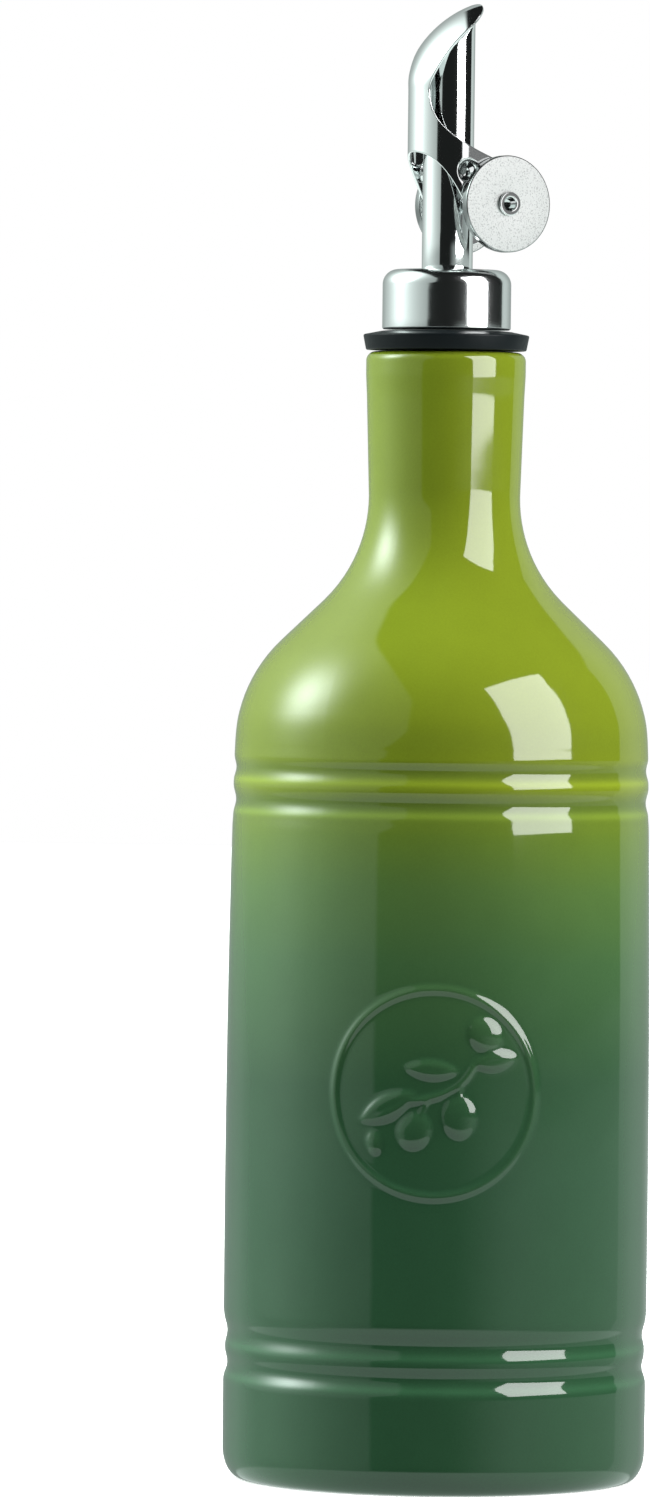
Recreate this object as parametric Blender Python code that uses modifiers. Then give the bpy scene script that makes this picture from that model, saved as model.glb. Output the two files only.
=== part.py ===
"""Ceramic oil cruet with a stainless steel pourer whose weighted flap closes the spout by itself.

Units are metres, +Z is up. The origin is the middle of the foot, on the surface the cruet stands on.
The relief medallion faces -Y. The pourer has a frame of its own: its x axis points the way the oil
pours, its y axis is the flap's hinge line, and its z axis is the bottle's.
"""

import math

import bmesh
import bpy
from mathutils import Vector

MM = 0.001
GAP = 0.3 * MM

# Bottle: heights above the table and radii of the glazed outside.
BOTTLE_HEIGHT = 223.5 * MM
NECK_RADIUS = 15.06 * MM
NECK_FLARE = 0.57 * MM
NECK_FOOT_HEIGHT = 194.8 * MM
NECK_FLARE_HEIGHT = 218.5 * MM
LIP_ROUND = 1.8 * MM
NECK_HOLLOW_RADIUS = 29.0 * MM
SHOULDER_RADIUS = 29.3 * MM
SHOULDER_FOOT_HEIGHT = 145.0 * MM
SHOULDER_FOOT_RADIUS = 41.0 * MM
BODY_RADIUS = 42.0 * MM
WIDEST_HEIGHT = 55.0 * MM
BASE_TUCK = 0.1 * MM
CORNER_HEIGHT = 6.0 * MM
FOOT_RADIUS = 38.5 * MM
FOOT_RING_INNER_RADIUS = 31.0 * MM
FOOT_RECESS = 1.5 * MM
BOTTLE_SEGMENTS = 52

# Turned grooves: height, depth and half the width of each, and the flat recess round the lower pair.
GROOVES = [
    (140.8 * MM, 0.45 * MM, 2.6 * MM),
    (134.3 * MM, 0.55 * MM, 2.6 * MM),
    (29.5 * MM, 0.40 * MM, 2.9 * MM),
    (23.1 * MM, 0.45 * MM, 2.9 * MM),
]
LOWER_RECESS_HEIGHT = 26.3 * MM
LOWER_RECESS_DEPTH = 0.32 * MM
LOWER_RECESS_HALF_WIDTH = 7.4 * MM

# Medallion: a raised ring with a sprig in relief, laid out flat and then wrapped round the wall.
# Flat places are (to the right, up) from the medallion's middle.
MEDALLION_HEIGHT = 78.7 * MM
RING_RADIUS = 21.2 * MM
RING_TUBE_RADIUS = 2.4 * MM
RING_RISE = 0.5 * MM
RING_POINTS = 44
RELIEF_SINK = 0.25 * MM
# Leaves: middle, length, width, turn in degrees, rise.
LEAVES = [
    ((-9.1 * MM, -2.8 * MM), 12.8 * MM, 5.2 * MM, 27.0, 0.75 * MM),
    ((-0.6 * MM, 4.6 * MM), 10.9 * MM, 3.8 * MM, -4.0, 0.75 * MM),
    ((11.8 * MM, 6.4 * MM), 9.2 * MM, 3.9 * MM, 8.0, 0.70 * MM),
]
# Olives: middle, length, width, turn in degrees, rise.
OLIVES = [
    ((-3.8 * MM, -7.3 * MM), 7.4 * MM, 6.6 * MM, 68.0, 0.95 * MM),
    ((4.8 * MM, -4.5 * MM), 8.6 * MM, 6.6 * MM, 95.0, 0.95 * MM),
    ((9.8 * MM, 11.4 * MM), 7.4 * MM, 6.1 * MM, 126.0, 0.90 * MM),
    ((-11.7 * MM, -9.8 * MM), 4.8 * MM, 3.0 * MM, 102.0, 0.60 * MM),
]
# Stalks: start, the point each bends towards, end, radius.
STALKS = [
    ((-4.9 * MM, -1.6 * MM), (4.6 * MM, -0.8 * MM), (7.5 * MM, 5.2 * MM), 0.60 * MM),
    ((-2.5 * MM, -4.1 * MM), (-2.0 * MM, -2.8 * MM), (-1.2 * MM, -1.4 * MM), 0.45 * MM),
    ((4.6 * MM, -0.9 * MM), (4.7 * MM, 0.0 * MM), (5.0 * MM, 1.2 * MM), 0.45 * MM),
    ((7.4 * MM, 5.0 * MM), (9.4 * MM, 6.4 * MM), (11.0 * MM, 8.6 * MM), 0.45 * MM),
]
STALK_POINTS = 9

# Stopper flange of black rubber, and the steel collar on it.
FLANGE_BOTTOM = BOTTLE_HEIGHT + GAP
FLANGE_EDGE_TOP = 226.8 * MM
FLANGE_TOP = 227.6 * MM
FLANGE_BOTTOM_RADIUS = 15.9 * MM
FLANGE_TOP_RADIUS = 16.5 * MM
COLLAR_BOTTOM = FLANGE_TOP + GAP
COLLAR_TOP = 239.8 * MM
COLLAR_RADIUS = 12.75 * MM
COLLAR_SHOULDER = 3.0 * MM
SEAT_DEPTH = 1.5 * MM
RING_SEGMENTS = 40

# Spout tube: a straight tube whose mouth is cut on a slant, low on the pouring side.
TUBE_RADIUS = 5.05 * MM
TUBE_WALL = 0.5 * MM
TUBE_BOTTOM = COLLAR_TOP - SEAT_DEPTH + GAP
TUBE_FLOOR = 1.2 * MM
MOUTH_HEIGHT = 285.6 * MM
MOUTH_SLANT = math.radians(50.0)
TUBE_BLANK_TOP = 291.0 * MM
CUTTER_SIZE = 30.0 * MM
TUBE_SEGMENTS = 36

# Pourer: how far it is turned in the neck, and the flap's hinge.
POURER_TURN = math.radians(211.0)
PIVOT_HEIGHT = 259.1 * MM

# Flap: one stamped sheet bent to a U round the tube. Across the sheet, places are measured along the
# sheet from its middle; up the sheet, along the front of the U, as a height above the table.
SHEET_RADIUS = 8.1 * MM
SHEET_THICKNESS = 0.55 * MM
BEND_START = 275.9 * MM
FIRST_BEND_RADIUS = 8.5 * MM
FIRST_BEND_ANGLE = math.radians(20.0)
SECOND_BEND_RADIUS = 23.2 * MM
SECOND_BEND_ANGLE = math.radians(50.0)
WAIST_HEIGHT = 275.0 * MM
WAIST_HALF_WIDTH = 4.25 * MM
TONGUE_HALF_WIDTH = 7.4 * MM
TONGUE_END_LENGTH = 9.3 * MM
EAR_UPPER_EDGE = [(4.25, 275.0), (4.6, 268.0), (10.5, 264.8), (19.5, 261.5)]
EAR_LOWER_EDGE = [(0.0, 262.9), (6.4, 262.8), (9.0, 258.6), (13.6, 249.6)]
DIMPLE_RADIUS = 2.4 * MM
DIMPLE_DEPTH = SHEET_RADIUS - SHEET_THICKNESS - TUBE_RADIUS - GAP
STATIONS_MIDDLE = 4
STATIONS_EAR = 20
STATIONS_LOBE = 6
ROWS_STRAP = 8
ROWS_TONGUE = 16

# Weights: two discs outside the flap's ears, on one hollow rivet behind the tube.
WEIGHT_BACK = 7.9 * MM
WEIGHT_HEIGHT = 252.8 * MM
WEIGHT_RADIUS = 9.6 * MM
WEIGHT_THICKNESS = 1.9 * MM
WEIGHT_INNER_FACE = SHEET_RADIUS + GAP
WEIGHT_EDGE = 0.25 * MM
LOBE_RADIUS = 8.0 * MM
RIVET_RADIUS = 1.65 * MM
RIVET_BORE_RADIUS = 1.3 * MM
RIVET_HEAD_RADIUS = 2.35 * MM
RIVET_HEAD_THICKNESS = 0.45 * MM
RIVET_HOLE_RADIUS = RIVET_RADIUS + GAP
RIVET_SEGMENTS = 24

MERGE_DISTANCE = 0.01 * MM


def clear_scene():
    for obj in list(bpy.data.objects):
        bpy.data.objects.remove(obj, do_unlink=True)


def new_collection(name):
    collection = bpy.data.collections.new(name)
    bpy.context.scene.collection.children.link(collection)
    return collection


def make_material(name, colour, roughness, metallic):
    material = bpy.data.materials.new(name)
    material.use_nodes = True
    shader = material.node_tree.nodes["Principled BSDF"]
    shader.inputs["Base Color"].default_value = (*colour, 1.0)
    shader.inputs["Roughness"].default_value = roughness
    shader.inputs["Metallic"].default_value = metallic
    material.diffuse_color = (*colour, 1.0)
    return material


def add_object(name, data, collection, material=None):
    obj = bpy.data.objects.new(name, data)
    collection.objects.link(obj)
    if material is not None:
        obj.data.materials.append(material)
    return obj


def shade_smooth(mesh, angle=math.radians(35.0)):
    mesh.shade_smooth()
    mesh.set_sharp_from_angle(angle=angle)


def evaluated_mesh(obj):
    """The object's mesh with its modifiers, or its curve, worked out and its loose caps welded."""
    graph = bpy.context.evaluated_depsgraph_get()
    mesh = bpy.data.meshes.new_from_object(obj.evaluated_get(graph))
    work = bmesh.new()
    work.from_mesh(mesh)
    bmesh.ops.remove_doubles(work, verts=work.verts, dist=MERGE_DISTANCE)
    bmesh.ops.recalc_face_normals(work, faces=work.faces)
    work.to_mesh(mesh)
    work.free()
    return mesh


def turned(name, profile, collection, material, segments, closed=False):
    """A solid of revolution about its own z axis, from (radius, height) points down its outer side."""
    mesh = bpy.data.meshes.new(name)
    points = [(radius, 0.0, height) for radius, height in profile]
    edges = [(i, i + 1) for i in range(len(points) - 1)]
    if closed:
        edges.append((len(points) - 1, 0))
    mesh.from_pydata(points, edges, [])
    obj = add_object(name, mesh, collection, material)
    screw = obj.modifiers.new("turn", "SCREW")
    screw.axis = "Z"
    screw.angle = math.tau
    screw.steps = segments
    screw.render_steps = segments
    screw.use_merge_vertices = True
    screw.merge_threshold = MERGE_DISTANCE
    screw.use_smooth_shade = True
    return obj


def add_boolean(obj, cutter, operation):
    boolean = obj.modifiers.new(operation.lower(), "BOOLEAN")
    boolean.operation = operation
    boolean.solver = "EXACT"
    if isinstance(cutter, bpy.types.Collection):
        boolean.operand_type = "COLLECTION"
        boolean.collection = cutter
    else:
        boolean.object = cutter
    return boolean


def hide_cutter(obj):
    obj.hide_render = True
    obj.display_type = "WIRE"


def arc(centre, radius, start, end, count):
    """Points on an arc of a circle, or of an ellipse where radius is a pair. Angles are in degrees."""
    across, along = radius if isinstance(radius, tuple) else (radius, radius)
    points = []
    for i in range(count + 1):
        angle = math.radians(start + (end - start) * i / count)
        points.append((centre[0] + across * math.cos(angle), centre[1] + along * math.sin(angle)))
    return points


def bezier(points, t):
    """The point at t, from 0 to 1, of a curve with four control points."""
    s = 1.0 - t
    weights = (s**3, 3 * s * s * t, 3 * s * t * t, t**3)
    return tuple(sum(w * p[k] for w, p in zip(weights, points)) for k in (0, 1))


def smooth_step(t):
    t = min(1.0, max(0.0, t))
    return t * t * (3.0 - 2.0 * t)


def shoulder_tangent():
    """The normal of the straight slope between the shoulder's arc and the neck's hollow arc."""
    across = NECK_RADIUS + NECK_HOLLOW_RADIUS - SHOULDER_FOOT_RADIUS + SHOULDER_RADIUS
    along = NECK_FOOT_HEIGHT - SHOULDER_FOOT_HEIGHT
    reach = (NECK_HOLLOW_RADIUS + SHOULDER_RADIUS) / math.hypot(across, along)
    return math.atan2(along, across) - math.acos(reach)


def wall_radius(height):
    """The bottle's radius at a height between its base corner and its lip, without the grooves."""
    if height >= NECK_FOOT_HEIGHT:
        flare = (height - NECK_FOOT_HEIGHT) / (NECK_FLARE_HEIGHT - NECK_FOOT_HEIGHT)
        return NECK_RADIUS + NECK_FLARE * smooth_step(flare)
    if height <= WIDEST_HEIGHT:
        down = (WIDEST_HEIGHT - height) / WIDEST_HEIGHT
        return BODY_RADIUS - BASE_TUCK * down**2
    if height <= SHOULDER_FOOT_HEIGHT:
        up = (height - WIDEST_HEIGHT) / (SHOULDER_FOOT_HEIGHT - WIDEST_HEIGHT)
        return BODY_RADIUS - (BODY_RADIUS - SHOULDER_FOOT_RADIUS) * up**2
    normal = shoulder_tangent()
    low = SHOULDER_FOOT_HEIGHT + SHOULDER_RADIUS * math.sin(normal)
    high = NECK_FOOT_HEIGHT - NECK_HOLLOW_RADIUS * math.sin(normal)
    shoulder_axis = SHOULDER_FOOT_RADIUS - SHOULDER_RADIUS
    neck_axis = NECK_RADIUS + NECK_HOLLOW_RADIUS
    if height <= low:
        return shoulder_axis + math.sqrt(SHOULDER_RADIUS**2 - (height - SHOULDER_FOOT_HEIGHT) ** 2)
    if height >= high:
        return neck_axis - math.sqrt(NECK_HOLLOW_RADIUS**2 - (NECK_FOOT_HEIGHT - height) ** 2)
    low_radius = shoulder_axis + SHOULDER_RADIUS * math.cos(normal)
    high_radius = neck_axis - NECK_HOLLOW_RADIUS * math.cos(normal)
    return low_radius + (high_radius - low_radius) * (height - low) / (high - low)


def groove_depth(height):
    """How far the grooves and the recess round the lower pair go into the wall at a height."""
    away = abs(height - LOWER_RECESS_HEIGHT) / LOWER_RECESS_HALF_WIDTH
    depth = LOWER_RECESS_DEPTH * smooth_step(2.2 * (1.0 - away))
    for middle, deep, half_width in GROOVES:
        away = abs(height - middle) / half_width
        if away < 1.0:
            depth += deep * 0.5 * (1.0 + math.cos(math.pi * away))
    return depth


def bottle_profile():
    """The outline from the middle of the top to the middle of the underside."""
    lip_radius = wall_radius(BOTTLE_HEIGHT - LIP_ROUND)
    lip_centre = (lip_radius - LIP_ROUND, BOTTLE_HEIGHT - LIP_ROUND)
    profile = [(0.0, BOTTLE_HEIGHT)]
    profile += list(reversed(arc(lip_centre, LIP_ROUND, 0.0, 90.0, 4)))
    heights = [NECK_FLARE_HEIGHT, 211.0 * MM, 203.0 * MM, NECK_FOOT_HEIGHT]
    slope_steps = 13
    slope = NECK_FOOT_HEIGHT - SHOULDER_FOOT_HEIGHT
    heights += [NECK_FOOT_HEIGHT - slope * i / slope_steps for i in range(1, slope_steps + 1)]
    for middle, _, half_width in GROOVES:
        heights += [middle + half_width * share for share in (1.0, 0.5, 0.0, -0.5, -1.0)]
    for side in (-1.0, 1.0):
        for share in (1.0, 0.75):
            heights.append(LOWER_RECESS_HEIGHT + side * share * LOWER_RECESS_HALF_WIDTH)
    heights += [113.0 * MM, 92.0 * MM, 71.0 * MM, 50.0 * MM, 12.0 * MM]
    heights = sorted(set(round(h, 6) for h in heights), reverse=True)
    closest = 0.5 * MM
    kept = [heights[0]]
    for height in heights[1:]:
        if kept[-1] - height > closest:
            kept.append(height)
    profile += [(wall_radius(h) - groove_depth(h), h) for h in kept]
    corner_width = wall_radius(CORNER_HEIGHT) - FOOT_RADIUS
    corner = arc((FOOT_RADIUS, CORNER_HEIGHT), (corner_width, CORNER_HEIGHT), 0.0, -90.0, 6)
    profile += corner
    profile.append((FOOT_RING_INNER_RADIUS, 0.0))
    profile.append((FOOT_RING_INNER_RADIUS - FOOT_RECESS, FOOT_RECESS))
    profile.append((0.0, FOOT_RECESS))
    return profile


def wrapped(across, up, rise):
    """A flat medallion place laid on the wall, that far proud of it."""
    height = MEDALLION_HEIGHT + up
    radius = wall_radius(height) + rise
    angle = across / BODY_RADIUS
    return Vector((radius * math.sin(angle), -radius * math.cos(angle), height))


def relief_blob(name, middle, length, width, turn, rise, pointed, collection):
    """A flattened ball wrapped on the wall, drawn out to two points where it is a leaf."""
    work = bmesh.new()
    bmesh.ops.create_uvsphere(work, u_segments=14, v_segments=8, radius=1.0)
    cos_turn, sin_turn = math.cos(math.radians(turn)), math.sin(math.radians(turn))
    for vert in work.verts:
        # The ball's poles become the two ends of the leaf or olive.
        along, side, out = vert.co.z, vert.co.x, vert.co.y
        taper = math.sqrt(max(0.0, 1.0 - along * along)) if pointed else 1.0
        x = along * length / 2
        y = side * taper * width / 2
        across = middle[0] + x * cos_turn - y * sin_turn
        up = middle[1] + x * sin_turn + y * cos_turn
        vert.co = wrapped(across, up, out * (rise + RELIEF_SINK) - RELIEF_SINK)
    bmesh.ops.recalc_face_normals(work, faces=work.faces)
    mesh = bpy.data.meshes.new(name)
    work.to_mesh(mesh)
    work.free()
    return add_object(name, mesh, collection)


def relief_tube(name, flat_points, radius, sink, cyclic, collection):
    """A round bar along flat points, wrapped on the wall and made a mesh."""
    curve = bpy.data.curves.new(name, "CURVE")
    curve.dimensions = "3D"
    spline = curve.splines.new("POLY")
    spline.points.add(len(flat_points) - 1)
    for point, (across, up) in zip(spline.points, flat_points):
        point.co = (*wrapped(across, up, -sink), 1.0)
    spline.use_cyclic_u = cyclic
    curve.bevel_depth = radius
    curve.bevel_resolution = 2
    curve.use_fill_caps = not cyclic
    guide = add_object(name + "_guide", curve, collection)
    obj = add_object(name, evaluated_mesh(guide), collection)
    obj.matrix_world = guide.matrix_world
    bpy.data.objects.remove(guide, do_unlink=True)
    return obj


def stalk_points(start, towards, end):
    """Points on a curve that leaves start and arrives at end, both in line with towards."""
    points = []
    for i in range(STALK_POINTS):
        t = i / (STALK_POINTS - 1)
        weights = ((1 - t) ** 2, 2 * t * (1 - t), t * t)
        across, up = (sum(w * p[k] for w, p in zip(weights, (start, towards, end))) for k in (0, 1))
        points.append((across, up))
    return points


def build_medallion(collection):
    ring = arc((0.0, 0.0), RING_RADIUS, 0.0, 360.0, RING_POINTS)[:-1]
    relief_tube("ring", ring, RING_TUBE_RADIUS, RING_TUBE_RADIUS - RING_RISE, True, collection)
    for i, (middle, length, width, turn, rise) in enumerate(LEAVES):
        relief_blob(f"leaf_{i}", middle, length, width, turn, rise, True, collection)
    for i, (middle, length, width, turn, rise) in enumerate(OLIVES):
        relief_blob(f"olive_{i}", middle, length, width, turn, rise, False, collection)
    for i, (start, towards, end, radius) in enumerate(STALKS):
        relief_tube(f"stalk_{i}", stalk_points(start, towards, end), radius, 0.0, False, collection)


def build_bottle(parts, material):
    """The glazed body, with the medallion's pieces joined to it by one union."""
    relief = new_collection("relief")
    build_medallion(relief)
    body = turned("bottle_body", bottle_profile(), parts, material, BOTTLE_SEGMENTS)
    add_boolean(body, relief, "UNION")
    bottle = add_object("bottle", evaluated_mesh(body), parts)
    shade_smooth(bottle.data)
    bpy.data.objects.remove(body, do_unlink=True)
    for obj in list(relief.objects):
        bpy.data.objects.remove(obj, do_unlink=True)
    bpy.data.collections.remove(relief)
    return bottle


def build_flange(parts, material):
    profile = [
        (0.0, FLANGE_TOP),
        (COLLAR_RADIUS, FLANGE_TOP),
        (FLANGE_TOP_RADIUS - 0.3 * MM, FLANGE_EDGE_TOP + 0.05 * MM),
        (FLANGE_TOP_RADIUS, FLANGE_EDGE_TOP - 0.3 * MM),
        (FLANGE_BOTTOM_RADIUS, FLANGE_BOTTOM + 0.2 * MM),
        (FLANGE_BOTTOM_RADIUS - 0.3 * MM, FLANGE_BOTTOM),
        (0.0, FLANGE_BOTTOM),
    ]
    return turned("stopper_flange", profile, parts, material, RING_SEGMENTS)


def build_collar(parts, material):
    """The pressed steel cap, with a seat for the tube in the middle of its top."""
    seat_radius = TUBE_RADIUS + GAP
    shoulder_centre = (COLLAR_RADIUS - COLLAR_SHOULDER, COLLAR_TOP - COLLAR_SHOULDER)
    profile = [
        (0.0, COLLAR_TOP - SEAT_DEPTH),
        (seat_radius, COLLAR_TOP - SEAT_DEPTH),
        (seat_radius, COLLAR_TOP),
    ]
    profile += list(reversed(arc(shoulder_centre, COLLAR_SHOULDER, 0.0, 90.0, 6)))
    profile.append((COLLAR_RADIUS, COLLAR_BOTTOM))
    profile.append((0.0, COLLAR_BOTTOM))
    return turned("collar", profile, parts, material, RING_SEGMENTS)


def build_tube(parts, cutters, frame, material):
    inner = TUBE_RADIUS - TUBE_WALL
    profile = [
        (0.0, TUBE_BOTTOM + TUBE_FLOOR),
        (inner, TUBE_BOTTOM + TUBE_FLOOR),
        (inner, TUBE_BLANK_TOP),
        (TUBE_RADIUS, TUBE_BLANK_TOP),
        (TUBE_RADIUS, TUBE_BOTTOM),
        (0.0, TUBE_BOTTOM),
    ]
    tube = turned("spout_tube", profile, parts, material, TUBE_SEGMENTS)
    tube.parent = frame
    bpy.ops.mesh.primitive_cube_add(size=CUTTER_SIZE)
    cutter = bpy.context.object
    cutter.name = "mouth_cutter"
    for collection in list(cutter.users_collection):
        collection.objects.unlink(cutter)
    cutters.objects.link(cutter)
    normal = Vector((math.cos(MOUTH_SLANT), 0.0, math.sin(MOUTH_SLANT)))
    cutter.parent = frame
    cutter.location = Vector((0.0, 0.0, MOUTH_HEIGHT)) + normal * CUTTER_SIZE / 2
    cutter.rotation_euler = (0.0, -MOUTH_SLANT, 0.0)
    hide_cutter(cutter)
    add_boolean(tube, cutter, "DIFFERENCE")
    return tube


def sheet_point(across, height, inward=0.0):
    """Where a place of the flat sheet goes once the sheet is bent, in the pourer's frame."""
    above = height - BEND_START
    first = FIRST_BEND_RADIUS * FIRST_BEND_ANGLE
    if above <= 0.0:
        x, z, lean = SHEET_RADIUS, height, 0.0
    elif above <= first:
        lean = above / FIRST_BEND_RADIUS
        x = SHEET_RADIUS - FIRST_BEND_RADIUS * (1.0 - math.cos(lean))
        z = BEND_START + FIRST_BEND_RADIUS * math.sin(lean)
    else:
        lean = FIRST_BEND_ANGLE + (above - first) / SECOND_BEND_RADIUS
        turned_back = math.cos(FIRST_BEND_ANGLE) - math.cos(lean)
        x = SHEET_RADIUS - FIRST_BEND_RADIUS * (1.0 - math.cos(FIRST_BEND_ANGLE))
        x -= SECOND_BEND_RADIUS * turned_back
        z = BEND_START + FIRST_BEND_RADIUS * math.sin(FIRST_BEND_ANGLE)
        z += SECOND_BEND_RADIUS * (math.sin(lean) - math.sin(FIRST_BEND_ANGLE))
    side = math.copysign(1.0, across)
    quarter = SHEET_RADIUS * math.pi / 2
    radius = SHEET_RADIUS - inward
    if abs(across) <= quarter:
        angle = abs(across) / SHEET_RADIUS
        drop = SHEET_RADIUS - radius * math.cos(angle)
        y = side * radius * math.sin(angle)
    else:
        drop = SHEET_RADIUS + abs(across) - quarter
        y = side * radius
    return Vector((x - math.cos(lean) * drop, y, z - math.sin(lean) * drop))


def dimple(across, height):
    """How far the sheet is pressed in at a place, round the pivot on each ear."""
    away = math.hypot(abs(across) - SHEET_RADIUS * math.pi / 2, height - PIVOT_HEIGHT)
    return DIMPLE_DEPTH * smooth_step(1.5 * (1.0 - away / DIMPLE_RADIUS))


def ear_stations():
    """Pairs of flat points, lower edge and upper edge, from the sheet's middle to the ear's end."""
    upper = [(across * MM, height * MM) for across, height in EAR_UPPER_EDGE]
    lower = [(across * MM, height * MM) for across, height in EAR_LOWER_EDGE]
    lobe = (SHEET_RADIUS * math.pi / 2 + WEIGHT_BACK, WEIGHT_HEIGHT)
    slope = math.atan2(upper[3][0] - upper[2][0], upper[2][1] - upper[3][1])
    upper_angle = math.degrees(slope)
    lower_angle = math.degrees(math.atan2(lower[3][1] - lobe[1], lower[3][0] - lobe[0]))
    lower_angle = lower_angle - 360.0 if lower_angle > 0.0 else lower_angle
    middle_angle = (upper_angle + lower_angle) / 2
    middle_share = 0.22
    stations = []
    for i in range(STATIONS_MIDDLE):
        share = i / STATIONS_MIDDLE
        low = bezier(lower, middle_share * share)
        stations.append((low, (WAIST_HALF_WIDTH * share, WAIST_HEIGHT)))
    tangent = arc(lobe, LOBE_RADIUS, upper_angle, middle_angle, STATIONS_LOBE)
    opposite = arc(lobe, LOBE_RADIUS, lower_angle, middle_angle, STATIONS_LOBE)
    for i in range(STATIONS_EAR + 1):
        share = i / STATIONS_EAR
        bent = 0.82
        if share <= bent:
            up = bezier(upper, share / bent)
        else:
            t = (share - bent) / (1.0 - bent)
            up = tuple(upper[3][k] + (tangent[0][k] - upper[3][k]) * t for k in (0, 1))
        stations.append((bezier(lower, middle_share + (1.0 - middle_share) * share), up))
    stations += list(zip(opposite[1:], tangent[1:]))
    return stations


def tongue_half_width(share):
    """Half the tongue's width, from its waist at 0 to the start of its round end at 1."""
    return WAIST_HALF_WIDTH + (TONGUE_HALF_WIDTH - WAIST_HALF_WIDTH) * math.sin(share * math.pi / 2) ** 1.1


def build_flap(parts, cutters, frame, material):
    """The flap: a strap with two ears, and a tongue that leans back over the spout's mouth."""
    work = bmesh.new()

    def vertex(across, height):
        return work.verts.new(sheet_point(across, height, dimple(across, height)))

    half = ear_stations()
    stations = [((-low[0], low[1]), (-up[0], up[1])) for low, up in reversed(half[1:])] + half
    strap = []
    for low, up in stations:
        column = []
        for row in range(ROWS_STRAP + 1):
            t = row / ROWS_STRAP
            column.append(vertex(*(low[k] + (up[k] - low[k]) * t for k in (0, 1))))
        strap.append(column)
    for left, right in zip(strap, strap[1:]):
        for row in range(ROWS_STRAP):
            work.faces.new((left[row], right[row], right[row + 1], left[row + 1]))
    middle = len(half) - 1
    columns = range(middle - STATIONS_MIDDLE, middle + STATIONS_MIDDLE + 1)
    below = [strap[i][-1] for i in columns]
    bends = FIRST_BEND_RADIUS * FIRST_BEND_ANGLE + SECOND_BEND_RADIUS * SECOND_BEND_ANGLE
    tip = BEND_START + bends
    side_top = tip - TONGUE_END_LENGTH
    for row in range(1, ROWS_TONGUE + 1):
        share = row / ROWS_TONGUE
        side = WAIST_HEIGHT + (side_top - WAIST_HEIGHT) * share
        bulge = TONGUE_END_LENGTH * share**2
        above = []
        for i in columns:
            a = (i - middle) / STATIONS_MIDDLE
            round_across, round_up = math.sin(a * math.pi / 2), math.cos(a * math.pi / 2)
            across = tongue_half_width(share) * (a + (round_across - a) * share)
            above.append(vertex(across, side + bulge * round_up))
        for i in range(len(below) - 1):
            work.faces.new((below[i], below[i + 1], above[i + 1], above[i]))
        below = above
    bmesh.ops.remove_doubles(work, verts=work.verts, dist=MERGE_DISTANCE)
    bmesh.ops.recalc_face_normals(work, faces=work.faces)
    front = max(work.faces, key=lambda face: face.calc_center_median().x)
    if front.normal.x < 0.0:
        bmesh.ops.reverse_faces(work, faces=work.faces)
    mesh = bpy.data.meshes.new("flap_hood")
    work.to_mesh(mesh)
    work.free()
    mesh.shade_smooth()
    flap = add_object("flap_hood", mesh, parts, material)
    flap.parent = frame
    solidify = flap.modifiers.new("sheet", "SOLIDIFY")
    solidify.thickness = SHEET_THICKNESS
    solidify.offset = -1.0
    end = 2.0 * SHEET_RADIUS
    profile = [(0.0, end), (RIVET_HOLE_RADIUS, end), (RIVET_HOLE_RADIUS, -end), (0.0, -end)]
    cutter = turned("rivet_cutter", profile, cutters, None, RIVET_SEGMENTS)
    place_on_rivet(cutter, frame)
    hide_cutter(cutter)
    add_boolean(flap, cutter, "DIFFERENCE")
    return flap


def place_on_rivet(obj, frame):
    """Puts a piece turned about its own z axis on the rivet's line, which runs along the hinge."""
    obj.parent = frame
    obj.location = (-WEIGHT_BACK, 0.0, WEIGHT_HEIGHT)
    obj.rotation_euler = (-math.pi / 2, 0.0, 0.0)


def build_weight(name, side, parts, frame, material):
    inner = side * WEIGHT_INNER_FACE
    outer = side * (WEIGHT_INNER_FACE + WEIGHT_THICKNESS)
    low, high = min(inner, outer), max(inner, outer)
    profile = [
        (RIVET_HOLE_RADIUS, high),
        (WEIGHT_RADIUS - WEIGHT_EDGE, high),
        (WEIGHT_RADIUS, high - WEIGHT_EDGE),
        (WEIGHT_RADIUS, low + WEIGHT_EDGE),
        (WEIGHT_RADIUS - WEIGHT_EDGE, low),
        (RIVET_HOLE_RADIUS, low),
    ]
    weight = turned(name, profile, parts, material, RING_SEGMENTS, closed=True)
    place_on_rivet(weight, frame)
    return weight


def build_rivet(parts, frame, material):
    """The hollow rivet, with a rolled head on the outside of each weight."""
    face = WEIGHT_INNER_FACE + WEIGHT_THICKNESS + GAP
    end = face + RIVET_HEAD_THICKNESS
    profile = [
        (RIVET_BORE_RADIUS, end - 0.15 * MM),
        (RIVET_BORE_RADIUS + 0.25 * MM, end),
        (RIVET_HEAD_RADIUS - 0.2 * MM, end),
        (RIVET_HEAD_RADIUS, face + 0.15 * MM),
        (RIVET_HEAD_RADIUS - 0.1 * MM, face),
        (RIVET_RADIUS, face),
    ]
    profile += [(radius, -height) for radius, height in reversed(profile)]
    rivet = turned("weight_rivet", profile, parts, material, RIVET_SEGMENTS, closed=True)
    place_on_rivet(rivet, frame)
    return rivet


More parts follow.
